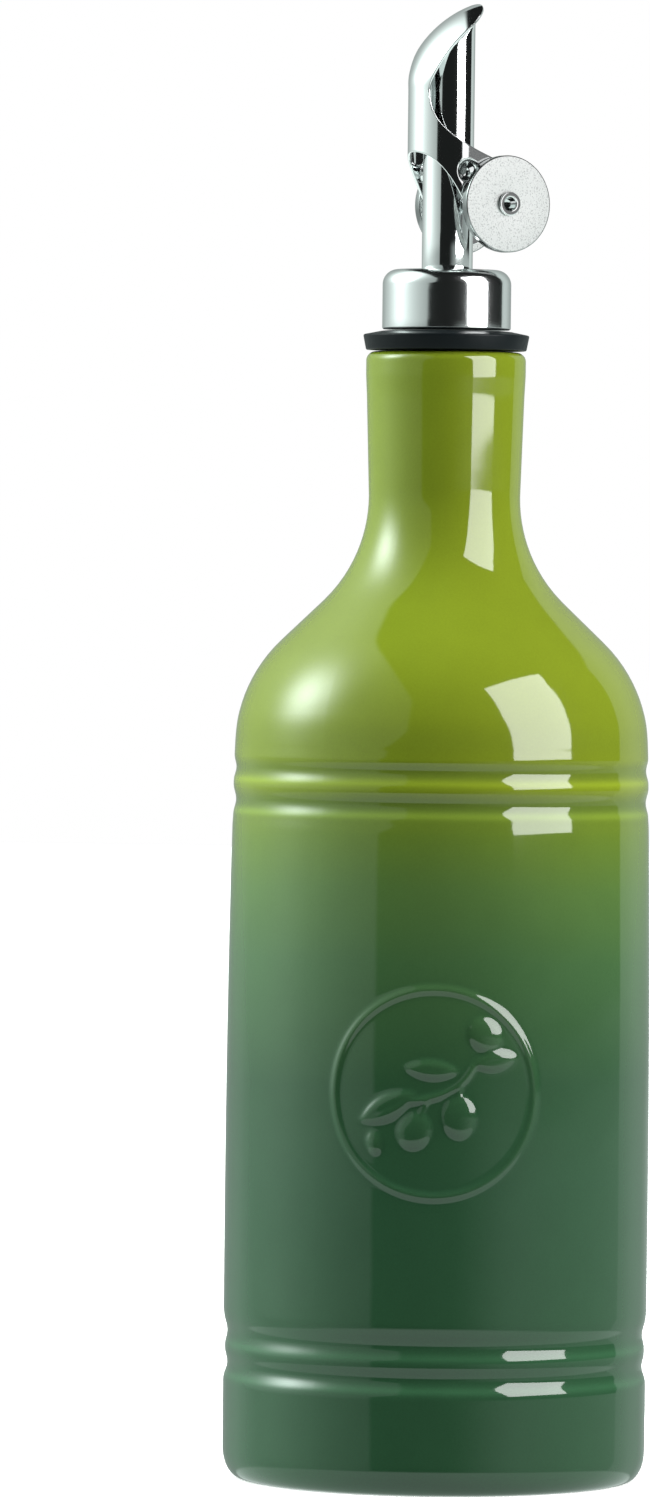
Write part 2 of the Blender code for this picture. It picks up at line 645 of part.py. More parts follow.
def main():
    clear_scene()
    parts = new_collection("oil_cruet")
    cutters = new_collection("cutters")
    glaze = make_material("green_glaze", (0.10, 0.22, 0.06), 0.12, 0.0)
    rubber = make_material("black_rubber", (0.012, 0.016, 0.018), 0.45, 0.0)
    steel = make_material("polished_steel", (0.72, 0.74, 0.74), 0.12, 1.0)
    satin = make_material("satin_steel", (0.70, 0.72, 0.72), 0.30, 1.0)
    cast = make_material("blasted_steel", (0.74, 0.75, 0.74), 0.42, 1.0)
    build_bottle(parts, glaze)
    build_flange(parts, rubber)
    build_collar(parts, satin)
    frame = bpy.data.objects.new("pourer_frame", None)
    parts.objects.link(frame)
    frame.rotation_euler = (0.0, 0.0, POURER_TURN)
    build_tube(parts, cutters, frame, steel)
    build_flap(parts, cutters, frame, steel)
    build_weight("weight_front", 1.0, parts, frame, cast)
    build_weight("weight_back", -1.0, parts, frame, cast)
    build_rivet(parts, frame, steel)
    bpy.context.view_layer.update()


main()
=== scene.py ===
# %% [markdown]
# # A glazed oil cruet with a steel pourer
# This lesson dresses a ceramic oil bottle and its pourer. The real bottle is stoneware, turned on a
# wheel or cast in a mould, with a sprig pressed on its front, dipped in two glazes that run together.
# The pourer is a rubber stopper with a pressed steel collar, a tube, and a flap that two weights shut.
#
# The plain solids come from an engineering model, which also says what moves with what. Here each
# piece gets a fine surface of the same size, worked out from a formula, and a finish.

import math

import bmesh
import bpy
import numpy as np
from mathutils import Matrix


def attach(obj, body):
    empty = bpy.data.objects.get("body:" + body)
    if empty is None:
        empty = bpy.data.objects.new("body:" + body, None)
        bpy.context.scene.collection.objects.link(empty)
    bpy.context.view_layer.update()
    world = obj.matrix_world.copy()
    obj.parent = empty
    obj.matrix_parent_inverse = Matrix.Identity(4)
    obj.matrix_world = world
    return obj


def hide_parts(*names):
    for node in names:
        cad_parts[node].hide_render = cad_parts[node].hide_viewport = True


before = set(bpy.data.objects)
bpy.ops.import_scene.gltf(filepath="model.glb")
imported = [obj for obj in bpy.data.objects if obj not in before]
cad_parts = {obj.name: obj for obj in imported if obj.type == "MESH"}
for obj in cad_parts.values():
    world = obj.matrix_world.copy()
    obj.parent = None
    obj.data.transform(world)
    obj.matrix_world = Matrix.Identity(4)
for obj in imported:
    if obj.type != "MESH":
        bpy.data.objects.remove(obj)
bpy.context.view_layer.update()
MM = 0.001

# %% [markdown]
# ## Surfaces from grids
# Almost everything here was turned, bent or pressed, so it can be described by a formula of two
# parameters: how far along an outline, and how far round. Numpy works out a whole grid of places at
# once, and each four neighbours become one face. Modelling by hand would need many loops of edges for
# the same smoothness, and a formula keeps the sizes exact.

# %% A mesh from a grid of places
def smooth_step(t):
    """0 below 0, 1 above 1, and 3 t squared minus 2 t cubed between."""
    t = np.clip(t, 0.0, 1.0)
    return t * t * (3.0 - 2.0 * t)


def grid_faces(rows, columns, around, first=0):
    """Corner numbers of each face: a place, the one below, the one right of that, and the one above it."""
    row = np.arange(rows - 1)[:, None]
    column = np.arange(columns if around else columns - 1)[None, :]
    right = (column + 1) % columns
    corners = [row * columns + column, (row + 1) * columns + column]
    corners += [(row + 1) * columns + right, row * columns + right]
    return first + np.stack(corners, axis=-1).reshape(-1, 4)


def placed(name, data):
    """A new object in the scene that shows this mesh, lamp or camera."""
    made = bpy.data.objects.new(name, data)
    bpy.context.scene.collection.objects.link(made)
    return made


def surface(name, grids, around=False, weld=0.002 * MM, values=None):
    """One smooth object from grids of places with the shape (rows, columns, 3), welded where they meet.

    Rows run down and columns run to the right as seen from outside, so faces point out.
    """
    faces, first = [], 0
    for grid in grids:
        rows, columns = grid.shape[:2]
        faces.append(grid_faces(rows, columns, around, first))
        first += rows * columns
    places = np.concatenate([grid.reshape(-1, 3) for grid in grids])
    faces = np.concatenate(faces)
    mesh = bpy.data.meshes.new(name)
    mesh.vertices.add(len(places))
    mesh.vertices.foreach_set("co", places.astype(np.float32).ravel())
    mesh.loops.add(faces.size)
    mesh.loops.foreach_set("vertex_index", faces.astype(np.int32).ravel())
    mesh.polygons.add(len(faces))
    mesh.polygons.foreach_set("loop_start", np.arange(0, faces.size, 4, dtype=np.int32))
    mesh.update(calc_edges=True)
    for key, numbers in (values or {}).items():
        layer = mesh.attributes.new(key, "FLOAT", "POINT")
        layer.data.foreach_set("value", numbers.astype(np.float32).ravel())
    work = bmesh.new()
    work.from_mesh(mesh)
    bmesh.ops.remove_doubles(work, verts=work.verts, dist=weld)
    work.to_mesh(mesh)
    work.free()
    mesh.shade_smooth()
    print(f"{name}: {len(mesh.vertices)} places, {len(mesh.polygons)} faces")
    return placed(name, mesh)


print("smooth step at 0.25, 0.5 and 0.75:", smooth_step(np.array([0.25, 0.5, 0.75])).tolist())

# %% [markdown]
# ## Turned outlines
# A turned piece is an outline carried once round an axis. Most outlines here are straight lines that
# meet in small round corners.

# %% Round an outline and turn it
def turned(profile, steps):
    """A profile of (radius, height) carried once round the upright axis, as a grid of places."""
    angle = np.linspace(0.0, math.tau, steps, endpoint=False)
    radius, height = profile[:, :1], profile[:, 1:]
    flat = np.zeros_like(angle)
    return np.stack([radius * np.cos(angle), radius * np.sin(angle), height + flat], axis=-1)


def arc(middle, radius, start, end, count):
    """Points on a circle: middle plus radius times cosine and sine, between two angles in degrees."""
    angle = np.radians(np.linspace(start, end, count + 1))
    return np.column_stack([middle[0] + radius * np.cos(angle), middle[1] + radius * np.sin(angle)])


def rounded(corners, radii, steps=5):
    """An outline whose inner corners are rounded: each corner is left and met by a curve with one bend.

    The curve is (1-t) squared of the point before, 2 t (1-t) of the corner, t squared of the point after.
    """
    corners = [np.array(corner, dtype=float) for corner in corners]
    t = np.linspace(0.0, 1.0, steps + 1)[:, None]
    points = [corners[0][None, :]]
    for before, corner, after, radius in zip(corners, corners[1:], corners[2:], radii):
        if radius == 0.0:
            points.append(corner[None, :])
            continue
        enter = corner + (before - corner) / np.linalg.norm(before - corner) * radius
        leave = corner + (after - corner) / np.linalg.norm(after - corner) * radius
        points.append((1 - t) ** 2 * enter + 2 * t * (1 - t) * corner + t**2 * leave)
    points.append(corners[-1][None, :])
    return np.concatenate(points)


print("a square's corner, rounded:", rounded([(0, 0), (1, 0), (1, 1)], [0.5], 2).round(2).tolist())

# %% [markdown]
# ## Sums written as sums
# A finish such as a glaze is a small calculation: colour by height, plus a little mottling, darker in
# the grooves. In Blender that is a web of nodes. The class below wraps one socket of the web, so the
# calculation can be written as ordinary Python, and each operator puts in one Math node.

# %% A socket that can be added and multiplied
class Wire:
    """One output socket of a shader, or a place to start from when it has none."""

    def __init__(self, tree, socket=None):
        self.tree = tree
        self.socket = socket

    def node(self, kind, settings=None, sockets=None, out=0):
        """Adds a node: its settings first, then numbers or wires for its sockets. Returns one output."""
        made = self.tree.nodes.new(kind)
        for key, value in (settings or {}).items():
            if key == "stops":
                ramp = made.color_ramp
                while len(ramp.elements) < len(value):
                    ramp.elements.new(1.0)
                for element, (place, colour) in zip(ramp.elements, value):
                    element.position = place
                    element.color = (*colour, 1.0)
            else:
                setattr(made, key, value)
        for key, value in (sockets or {}).items():
            if isinstance(value, Wire):
                self.tree.links.new(value.socket, made.inputs[key])
            else:
                made.inputs[key].default_value = value
        return Wire(self.tree, made.outputs[out] if made.outputs else None)

    def other(self, name):
        """Another output of the same node."""
        return Wire(self.tree, self.socket.node.outputs[name])

    def maths(self, operation, *values):
        return self.node("ShaderNodeMath", {"operation": operation}, dict(enumerate(values)))

    def __add__(self, value):
        return self.maths("ADD", self, value)

    def __sub__(self, value):
        return self.maths("SUBTRACT", self, value)

    def __rsub__(self, value):
        return self.maths("SUBTRACT", value, self)

    def __mul__(self, value):
        return self.maths("MULTIPLY", self, value)

    __radd__ = __add__
    __rmul__ = __mul__

    def between(self, low, high):
        """Rises smoothly from 0 at low to 1 at high, or falls where low is the larger."""
        sockets = {"Value": self, "From Min": low, "From Max": high}
        return self.node("ShaderNodeMapRange", {"interpolation_type": "SMOOTHSTEP"}, sockets)

    def mix(self, first, second):
        """A colour that goes from the first to the second as this wire goes from 0 to 1."""
        sockets = {0: self, 6: first, 7: second}
        return self.node("ShaderNodeMix", {"data_type": "RGBA"}, sockets, out=2)

    def noise(self, scale, detail):
        """Random values that vary smoothly over these places, so many waves a metre, around a half."""
        sockets = {"Vector": self, "Scale": scale, "Detail": detail}
        return self.node("ShaderNodeTexNoise", sockets=sockets)

    def stored(self, name):
        """The number that the surface's grid stores under a name."""
        return self.node("ShaderNodeAttribute", {"attribute_name": name}, out="Fac")


def rgb(red, green, blue):
    """A colour as a socket takes it."""
    return (red, green, blue, 1.0)


# %% [markdown]
# ## The camera
# A long lens from almost two metres keeps the bottle's sides upright and its grooves nearly straight,
# as in a product picture. The bottle leans very slightly in the picture, so the camera is rolled by
# that much and the bottle itself stays straight. The camera stands a little to the right of the
# medallion's middle, because the medallion sits slightly left of the bottle's axis in the picture.

# %% Put up the camera
CAMERA_DISTANCE = 1.8947
CAMERA_BEARING = math.radians(0.9)
CAMERA_HEIGHT = 0.1840
# The bottle stands off the picture's middle: its shifts and the lens's length, in dots of the picture.
SHIFT_ASIDE, SHIFT_DOWN, LENS_IN_DOTS = 116.5, 200.0, 9550.0
CAMERA_TURN = math.atan(SHIFT_ASIDE / LENS_IN_DOTS)
CAMERA_TILT = math.atan(SHIFT_DOWN / LENS_IN_DOTS)
CAMERA_ROLL = math.radians(0.66)
SENSOR_WIDTH, FOCAL_LENGTH = 36.0, 229.2

lens = bpy.data.cameras.new("camera")
lens.sensor_width = SENSOR_WIDTH
lens.lens = FOCAL_LENGTH
lens.clip_end = 50.0
camera = placed("camera", lens)
turn = Matrix.Rotation(CAMERA_TURN, 4, "Z") @ Matrix.Rotation(math.pi / 2 - CAMERA_TILT, 4, "X")
place = Matrix.Translation((0.0, -CAMERA_DISTANCE, CAMERA_HEIGHT))
aside = Matrix.Rotation(CAMERA_BEARING, 4, "Z")
camera.matrix_world = aside @ place @ turn @ Matrix.Rotation(CAMERA_ROLL, 4, "Z")
bpy.context.scene.camera = camera
bpy.context.scene.view_settings.view_transform = "Standard"
print("camera at", [round(v, 3) for v in camera.matrix_world.translation])

# %% [markdown]
# ## The room
# Glaze and polished steel show the room more than they show themselves, so the room is half the
# picture. On the left stands a tall sheet of diffusing cloth with a lamp behind it, which gives the
# broad pale band and the round glow on the shoulder. White paper hangs behind, and the ground is
# white. The front is dark, where the camera stands. The right side is dark too, apart from the edge of
# the table and a bright soft box, which is a lamp of its own further down.
#
# It could be built from cards and lamps. A world that gives each direction a brightness is simpler,
# has no edges to get in the way of other views, and costs nothing to render. The camera itself sees
# plain white. First each direction is measured in degrees.

# %% Measure directions in the room
world = bpy.data.worlds.new("studio")
world.use_nodes = True
bpy.context.scene.world = world
world.node_tree.nodes.clear()
room = Wire(world.node_tree)
direction = room.node("ShaderNodeTexCoord", out="Generated")
east = room.node("ShaderNodeSeparateXYZ", sockets={"Vector": direction})
north, up = east.other("Y"), east.other("Z")
DEGREES = 180.0 / math.pi
# Degrees round from the camera's side, to the right, and degrees above the horizon.
bearing = room.maths("ARCTAN2", east, north * -1.0) * DEGREES
rise = up.maths("ARCSINE", up) * DEGREES


def bell(middle, spread):
    """1 at one bearing and less beside it: e to minus half the square of (degrees away over spread)."""
    away = bearing - middle
    return room.maths("EXPONENT", away * away * (-1.0 / (2 * spread**2)))


def lobe(azimuth, altitude, spread):
    """1 towards one direction and falling round it as a bell: e to the (cosine of the angle less 1) over
    the spread squared, which is nearly e to minus half the angle squared over the spread squared.
    """
    azimuth, altitude, spread = math.radians(azimuth), math.radians(altitude), math.radians(spread)
    level = math.cos(altitude)
    cosine = math.sin(azimuth) * level * east - math.cos(azimuth) * level * north + math.sin(altitude) * up
    return room.maths("EXPONENT", (cosine - 1.0) * (1.0 / spread**2))


print("measuring a direction takes", len(world.node_tree.nodes), "nodes")

# %% [markdown]
# ## How bright each direction is
# The cloth, the paper, the ground and the table's edge each get a brightness and a soft outline, and
# the brightest one wins. The lamp behind the cloth is a round glow with a wide faint one above it.

# %% Light the room by direction
DARK = 0.014
# Bearing, height and spread in degrees, and how bright it is.
LAMP = (-92.0, 29.0, 10.4, 13.0)
HALO = (-106.0, 41.0, 20.5, 1.5)
CLOTH_MIDDLE, CLOTH_SPREAD = -86.0, 30.0
FAR_MIDDLE, FAR_SPREAD, FAR_LIGHT = -112.0, 32.0, 2.4
# The cloth ends at a slanting front edge, and its top edge runs away from the camera overhead.
front_edge = -34.0 + 15.0 * rise.between(-1.0, 13.0)
hung = (front_edge - bearing).between(-1.6, 1.6) * (east + 0.42 * up).between(0.02, -0.02)
glow = LAMP[3] * lobe(*LAMP[:3]) + HALO[3] * lobe(*HALO[:3])
# Matt surfaces get more of the cloth's far part than shiny ones show of it, and less of the ground.
path = room.node("ShaderNodeLightPath", out="Is Camera Ray")
matt = path.other("Is Diffuse Ray")
far = FAR_LIGHT * matt * bell(FAR_MIDDLE, FAR_SPREAD)
# The cloth is dimmer to both sides, near its foot and high overhead.
even = 0.38 + 0.62 * bell(CLOTH_MIDDLE, CLOTH_SPREAD)
even = even * (0.7 + 0.3 * rise.between(-5.5, -1.0)) * (1.0 - 0.35 * rise.between(46.0, 68.0))
cloth = hung * (even + glow + far)
# White paper hangs behind, and its side edges lean in towards the top.
paper = (1.80 * north - 0.40 * up - east).between(-0.02, 0.02) * north.between(-0.02, 0.02)
paper = paper * (0.70 * north + 0.30 * east - up).between(-0.03, 0.03)
behind = paper * (0.38 + 0.33 * north.between(1.0, 0.65))
ground = rise.between(-15.0, -19.5) * (1.20 - 0.80 * matt)
table = 0.50 * rise.between(-1.2, -3.6) * bearing.between(5.0, 50.0)
brightness = DARK + room.maths("MAXIMUM", room.maths("MAXIMUM", cloth, behind), ground)
brightness = room.maths("MAXIMUM", brightness, table)
# The room is faintly green. The camera sees it as plain white.
tint = path.mix(rgb(0.89, 1.0, 0.965), rgb(1.0, 1.0, 1.0))
strength = path + (1.0 - path) * brightness
shade = room.node("ShaderNodeBackground", sockets={"Color": tint, "Strength": strength})
room.node("ShaderNodeOutputWorld", sockets={"Surface": shade})
print("the room has", len(world.node_tree.nodes), "nodes")

# %% [markdown]
# ## The soft box and the floor
# The soft box stands to the right of the camera, a metre away, and leans over the bottle. Its lower
# edge is just below the bottle's neck, so the steel, the neck and the slopes that face up mirror it,
# and the body's upright wall doesn't. What a shiny surface shows and what lights a matt one can be set
# apart: a second box, further round, only lights matt surfaces, and so does a wide lamp overhead. With
# one box for both, the glaze's own green would come out too bright or its highlights too dull. The
# floor is a plain white sheet.

# %% Put up the soft box and lay the floor
# Sizes in metres and angles in degrees.
BOX_DISTANCE, BOX_BOTTOM = 1.0, 0.157
BOX_WIDTH, BOX_LENGTH = 0.65, 0.89
BOX_BEARING, BOX_LEAN, BOX_ROLL = 57.8, 20.0, 2.5
BOX_RADIANCE = 10.0
MATT_BOX_RADIANCE, MATT_BOX_BEARING = 11.9, 70.0
OVERHEAD_RADIANCE, OVERHEAD_WIDTH = 4.6, 1.2
OVERHEAD_PLACE = (-0.45, 0.0, 1.8)


def flat_lamp(name, radiance, width, length):
    """A lamp that shines down from a rectangle. Its power is its radiance times pi times its area."""
    lamp = bpy.data.lights.new(name, "AREA")
    lamp.shape = "RECTANGLE"
    lamp.size = width
    lamp.size_y = length
    lamp.energy = radiance * math.pi * width * length
    made = placed(name, lamp)
    made.visible_camera = False
    print(f"{name}: {lamp.energy:.1f} W")
    return made


def soft_box(name, radiance, behind=0.0, bearing=BOX_BEARING, width=BOX_WIDTH):
    """A lamp that faces the bottle and leans over it.

    Lamps in the same place would hide each other, so each stands a little behind the one before.
    """
    made = flat_lamp(name, radiance, width, BOX_LENGTH)
    angle, lean = math.radians(bearing), math.radians(BOX_LEAN)
    out = BOX_DISTANCE + behind - BOX_LENGTH / 2 * math.sin(lean)
    level = BOX_BOTTOM + BOX_LENGTH / 2 * math.cos(lean)
    stand = Matrix.Translation((math.sin(angle) * out, -math.cos(angle) * out, level))
    facing = Matrix.Rotation(angle, 4, "Z") @ Matrix.Rotation(math.pi / 2 - lean, 4, "X")
    made.matrix_world = stand @ facing @ Matrix.Rotation(math.radians(BOX_ROLL), 4, "Z")
    return made


box = soft_box("soft_box", BOX_RADIANCE)
box.visible_diffuse = False
spill = soft_box("box_for_matt_surfaces", MATT_BOX_RADIANCE, behind=0.05, bearing=MATT_BOX_BEARING)
spill.visible_glossy = False
overhead = flat_lamp("overhead", OVERHEAD_RADIANCE, OVERHEAD_WIDTH, OVERHEAD_WIDTH)
overhead.matrix_world = Matrix.Translation(OVERHEAD_PLACE)
overhead.visible_glossy = False

# The floor is the white paper under the bottle. It glows a little, and lights nothing else.
FLOOR_HALF = 4.0
ends = np.array([-FLOOR_HALF, FLOOR_HALF])
across, along = np.meshgrid(ends, -ends)
floor = surface("floor", [np.stack([across, along, np.zeros_like(across)], axis=-1)])
white = bpy.data.materials.new("white_paper")
white.use_nodes = True
sockets = white.node_tree.nodes["Principled BSDF"].inputs
sockets["Base Color"].default_value = rgb(0.86, 0.86, 0.85)
sockets["Roughness"].default_value = 0.9
sockets["Emission Color"].default_value = rgb(1.0, 1.0, 1.0)
sockets["Emission Strength"].default_value = 0.45
floor.data.materials.append(white)
floor.visible_glossy = False
floor.visible_diffuse = False
floor.visible_shadow = False

# %% [markdown]
# ## The bottle's outline
# The body is a very slightly tapered cylinder, the shoulder one round arc, and the neck meets it in a
# hollow arc and flares a little to its lip. Two shallow grooves are turned under the shoulder and two
# above the foot, where they lie in a slight recess. Drawing this as a curve by hand would do as well,
# but the arcs have real radii, so they are worked out.

# %% The outline as a function of height
BOTTLE_HEIGHT = 223.5 * MM
NECK_RADIUS = 15.0 * MM
NECK_FOOT = 194.8 * MM
# The neck flares by these slopes, one above the other.
FLARES = [(194.8 * MM, 214.7 * MM, 0.031), (214.7 * MM, 218.9 * MM, 0.050)]
LIP_ROUND = 1.8 * MM
NECK_HOLLOW = 29.0 * MM
SHOULDER_ROUND = 29.3 * MM
SHOULDER_FOOT = 145.0 * MM
SHOULDER_START = 145.65 * MM
SHOULDER_FOOT_RADIUS = 41.0 * MM
BODY_RADIUS = 42.0 * MM
WIDEST = 55.0 * MM
BASE_TUCK = 0.1 * MM
CORNER = 6.0 * MM
FOOT_RADIUS = 38.5 * MM
FOOT_RING_INNER = 31.0 * MM
FOOT_RECESS = 1.5 * MM
FOOT_ROUND = 0.5 * MM
# Turned grooves: height, depth and half the width in millimetres. The two very shallow ones are where
# the wall was smoothed beside a groove.
GROOVES = [
    (147.0, 0.06, 4.2), (140.8, 0.45, 2.6), (134.6, 0.55, 2.9), (132.3, 0.12, 3.3),
    (29.0, 0.45, 2.9), (22.7, 0.46, 2.9),
]
RECESS_HEIGHT, RECESS_DEPTH, RECESS_HALF = 26.3 * MM, 0.32 * MM, 7.4 * MM


def slope_lean():
    """The angle of the straight slope's normal: the one line that touches both arcs."""
    span = NECK_RADIUS + NECK_HOLLOW - SHOULDER_FOOT_RADIUS + SHOULDER_ROUND
    climb = NECK_FOOT - SHOULDER_FOOT
    reach = (NECK_HOLLOW + SHOULDER_ROUND) / math.hypot(span, climb)
    return math.atan2(climb, span) - math.acos(reach)


def wall_radius(height):
    """The wall without its grooves: flared neck, hollow arc, slope, round shoulder, then two parabolas."""
    lean = slope_lean()
    low = SHOULDER_FOOT + SHOULDER_ROUND * math.sin(lean)
    high = NECK_FOOT - NECK_HOLLOW * math.sin(lean)
    neck = NECK_RADIUS
    for start, end, slope in FLARES:
        neck = neck + slope * (np.clip(height, start, end) - start)
    drop = np.clip(NECK_FOOT - height, 0.0, NECK_HOLLOW)
    hollow = NECK_RADIUS + NECK_HOLLOW - np.sqrt(NECK_HOLLOW**2 - drop**2)
    climb = np.clip(height - SHOULDER_FOOT, 0.0, SHOULDER_ROUND)
    shoulder = SHOULDER_FOOT_RADIUS - SHOULDER_ROUND + np.sqrt(SHOULDER_ROUND**2 - climb**2)
    low_radius = SHOULDER_FOOT_RADIUS - SHOULDER_ROUND * (1.0 - math.cos(lean))
    high_radius = NECK_RADIUS + NECK_HOLLOW * (1.0 - math.cos(lean))
    slope = low_radius + (high_radius - low_radius) * (height - low) / (high - low)
    above = (height - WIDEST) / (SHOULDER_FOOT - WIDEST)
    body = BODY_RADIUS - (BODY_RADIUS - SHOULDER_FOOT_RADIUS) * above**2
    base = BODY_RADIUS - BASE_TUCK * ((WIDEST - height) / WIDEST) ** 2
    parts = [height >= NECK_FOOT, height >= high, height >= low, height >= SHOULDER_START, height >= WIDEST]
    return np.select(parts, [neck, hollow, slope, shoulder, body], base)


def groove_depth(height):
    """The flat recess round the lower pair, plus half a cosine wave across each groove."""
    away = np.abs(height - RECESS_HEIGHT) / RECESS_HALF
    depth = RECESS_DEPTH * smooth_step(2.2 * (1.0 - away))
    for middle, deep, half in GROOVES:
        away = np.clip(np.abs(height / MM - middle) / half, 0.0, 1.0)
        depth = depth + deep * MM * 0.5 * (1.0 + np.cos(math.pi * away))
    return depth


print("neck and body radius in mm:", wall_radius(np.array([NECK_FOOT, WIDEST])) / MM)

# %% [markdown]
# ## Points down the outline
# The rows lie close together at the grooves and the medallion, where the surface bends, and wider
# apart elsewhere. The lip and the foot's edges are arcs, and the underside is a plain foot ring.

# %% Collect the outline from the lip to the foot
def steps_down(spans):
    """Heights in millimetres from spans of (top, bottom, step), each starting where the last one ended."""
    runs = [np.linspace(top, low, max(2, round((top - low) / step) + 1))[:-1] for top, low, step in spans]
    return np.concatenate(runs) * MM


heights = steps_down([
    (221.7, 214.7, 0.7), (214.7, 194.8, 1.5), (194.8, 152.0, 1.6), (152.0, 124.0, 0.33),
    (124.0, 104.0, 2.0), (104.0, 53.5, 0.30), (53.5, 35.0, 2.0), (35.0, 18.0, 0.36), (18.0, 6.0, 1.7),
])
wall = np.column_stack([wall_radius(heights) - groove_depth(heights), heights])
lip_radius = float(wall_radius(np.array(BOTTLE_HEIGHT - LIP_ROUND)))
lip = arc((lip_radius - LIP_ROUND, BOTTLE_HEIGHT - LIP_ROUND), LIP_ROUND, 90.0, 0.0, 10)[:-1]
top = np.column_stack([np.linspace(0.0, lip_radius - LIP_ROUND, 5)[:-1], np.full(4, BOTTLE_HEIGHT)])
corner_width = float(wall_radius(np.array(CORNER))) - FOOT_RADIUS
turn_in = np.radians(np.linspace(0.0, -90.0, 12))
corner = np.column_stack([FOOT_RADIUS + corner_width * np.cos(turn_in), CORNER + CORNER * np.sin(turn_in)])
foot = rounded(
    [(FOOT_RADIUS - FOOT_ROUND, 0.0), (FOOT_RING_INNER, 0.0),
     (FOOT_RING_INNER - FOOT_RECESS, FOOT_RECESS), (20.0 * MM, FOOT_RECESS), (0.0, FOOT_RECESS)],
    [FOOT_ROUND, FOOT_ROUND, 0.0],
)
outline = np.concatenate([top, lip, wall, corner, foot])
print("outline:", len(outline), "points, widest", round(outline[:, 0].max() / MM, 2), "mm")

# %% [markdown]
# ## The medallion
# A round bead with an olive sprig in it stands half a millimetre or so proud of the front. On the
# real bottle it is pressed from a mould and then softened by the glaze. Here it is a height added to
# the wall's radius, and each leaf, olive and stalk is a small dome over a flat plan. This is the plan,
# in millimetres from the medallion's middle, to the right and up.

# %% Lay out the sprig
MEDALLION_HEIGHT = 78.7
RING_CREST = 19.9
RING_INNER_HALF, RING_OUTER_HALF, RING_RISE = 0.4, 1.2, 0.42
# Leaves: middle, length, width, turn in degrees, rise.
LEAVES = [
    ((-9.1, -2.8), 12.8, 5.2, 27.0, 0.75),
    ((-0.6, 4.6), 10.9, 3.8, -4.0, 0.70),
    ((11.8, 6.4), 9.2, 3.9, 8.0, 0.72),
]
# Olives: middle, length, width, turn in degrees, rise.
OLIVES = [
    ((-3.8, -7.3), 7.4, 6.6, 68.0, 0.74),
    ((4.8, -4.5), 8.6, 6.6, 95.0, 0.70),
    ((9.8, 11.4), 7.4, 6.1, 126.0, 0.74),
    ((-11.7, -9.8), 4.8, 3.0, 102.0, 0.60),
]
# Stalks: start, the point each bends towards, end, radius.
STALKS = [
    ((-4.9, -1.6), (4.6, -0.8), (7.5, 5.2), 0.60),
    ((-2.5, -4.1), (-2.0, -2.8), (-1.2, -1.4), 0.45),
    ((4.6, -0.9), (4.7, 0.0), (5.0, 1.2), 0.45),
    ((7.4, 5.0), (9.4, 6.4), (11.0, 8.6), 0.45),
]
VEIN = 0.22
MELTING_ROUNDS = 3
print("the medallion has", len(LEAVES), "leaves,", len(OLIVES), "olives and", len(STALKS), "stalks")

# %% [markdown]
# ## The sprig's forms
# Each form is a formula for its height at every place of the grid. The highest form wins, and a few
# rounds of smoothing melt them together as the glaze does. Sculpting would give freer shapes, but
# these can be moved and turned by their numbers.

# %% The sprig as heights over the wall
def local(across, up, middle, length, width, turn):
    """Places measured along and across a form, as shares of half its length and half its width."""
    cosine, sine = math.cos(math.radians(turn)), math.sin(math.radians(turn))
    x, y = across - middle[0], up - middle[1]
    return (x * cosine + y * sine) * 2 / length, (y * cosine - x * sine) * 2 / width


def leaf(across, up, middle, length, width, turn, rise):
    """A dome with a vein down its middle: its half width shrinks as 1 minus the square of the way along."""
    along, side = local(across, up, middle, length, width, turn)
    end = np.clip(1.0 - along**2, 0.0, 1.0)
    side = side / np.maximum(end, 1e-6)
    dome = np.sqrt(np.clip(1.0 - side**2, 0.0, 1.0)) - VEIN * np.exp(-((side / VEIN) ** 2))
    return rise * np.sqrt(end) * np.clip(dome, 0.0, 1.0) * (end > 0.0)


def olive(across, up, middle, length, width, turn, rise):
    """Half of an egg lying in the wall: the root of 1 minus the squares of both shares."""
    along, side = local(across, up, middle, length, width, turn)
    return rise * np.sqrt(np.clip(1.0 - along**2 - side**2, 0.0, 1.0))


def stalk(across, up, start, towards, end, radius):
    """A round bar: the root of its radius squared minus the square of the way to the nearest point."""
    t = np.linspace(0.0, 1.0, 25)[:, None]
    line = (1 - t) ** 2 * np.array(start) + 2 * t * (1 - t) * np.array(towards) + t**2 * np.array(end)
    away = np.full(across.shape, np.inf)
    for x, y in line:
        away = np.minimum(away, (across - x) ** 2 + (up - y) ** 2)
    return np.sqrt(np.clip(radius**2 - away, 0.0, None))


def relief(across, up):
    """The highest of all forms, in millimetres, then smoothed by weights of 1, 2 and 1."""
    away = np.hypot(across, up) - RING_CREST
    share = away / np.where(away < 0.0, RING_INNER_HALF, RING_OUTER_HALF)
    height = RING_RISE * np.clip(1.0 - share**2, 0.0, 1.0) ** 0.8
    for shape, forms in ((leaf, LEAVES), (olive, OLIVES), (stalk, STALKS)):
        for form in forms:
            height = np.maximum(height, shape(across, up, *form))
    for _ in range(MELTING_ROUNDS):
        height = melted(height)
    return height


def melted(height):
    """Each place takes a quarter of the places to its two sides and half of its own, both ways."""
    for axis in (0, 1):
        height = 0.5 * height + 0.25 * (np.roll(height, 1, axis) + np.roll(height, -1, axis))
    return height


crest = relief(np.array([[RING_CREST]]), np.array([[0.0]]))
print("the ring's crest is", float(crest[0, 0]), "mm high before it melts")

# %% [markdown]
# ## The glazed bottle
# The outline is carried round the axis on a grid that is fine where the medallion is and coarser
# elsewhere. The same grid stores how much glaze pools at each place: glaze runs off the high edges and
# stays in the hollows, where it looks deeper and greener. It also runs down off the lower edge of each
# groove and leaves a paler line there. The finish reads these numbers.

# %% Turn the bottle and press the medallion on it
FINE_HALF = 33.5
FINE_COLUMNS, COARSE_COLUMNS = 164, 98
RELIEF_HALF = 25.0
SPREADING_ROUNDS = 16
# How much a millimetre of hollow, of cut and of crest counts.
HOLLOW_POOL, CUT_POOL, CREST_THIN = 2.6, 0.85, 2.0
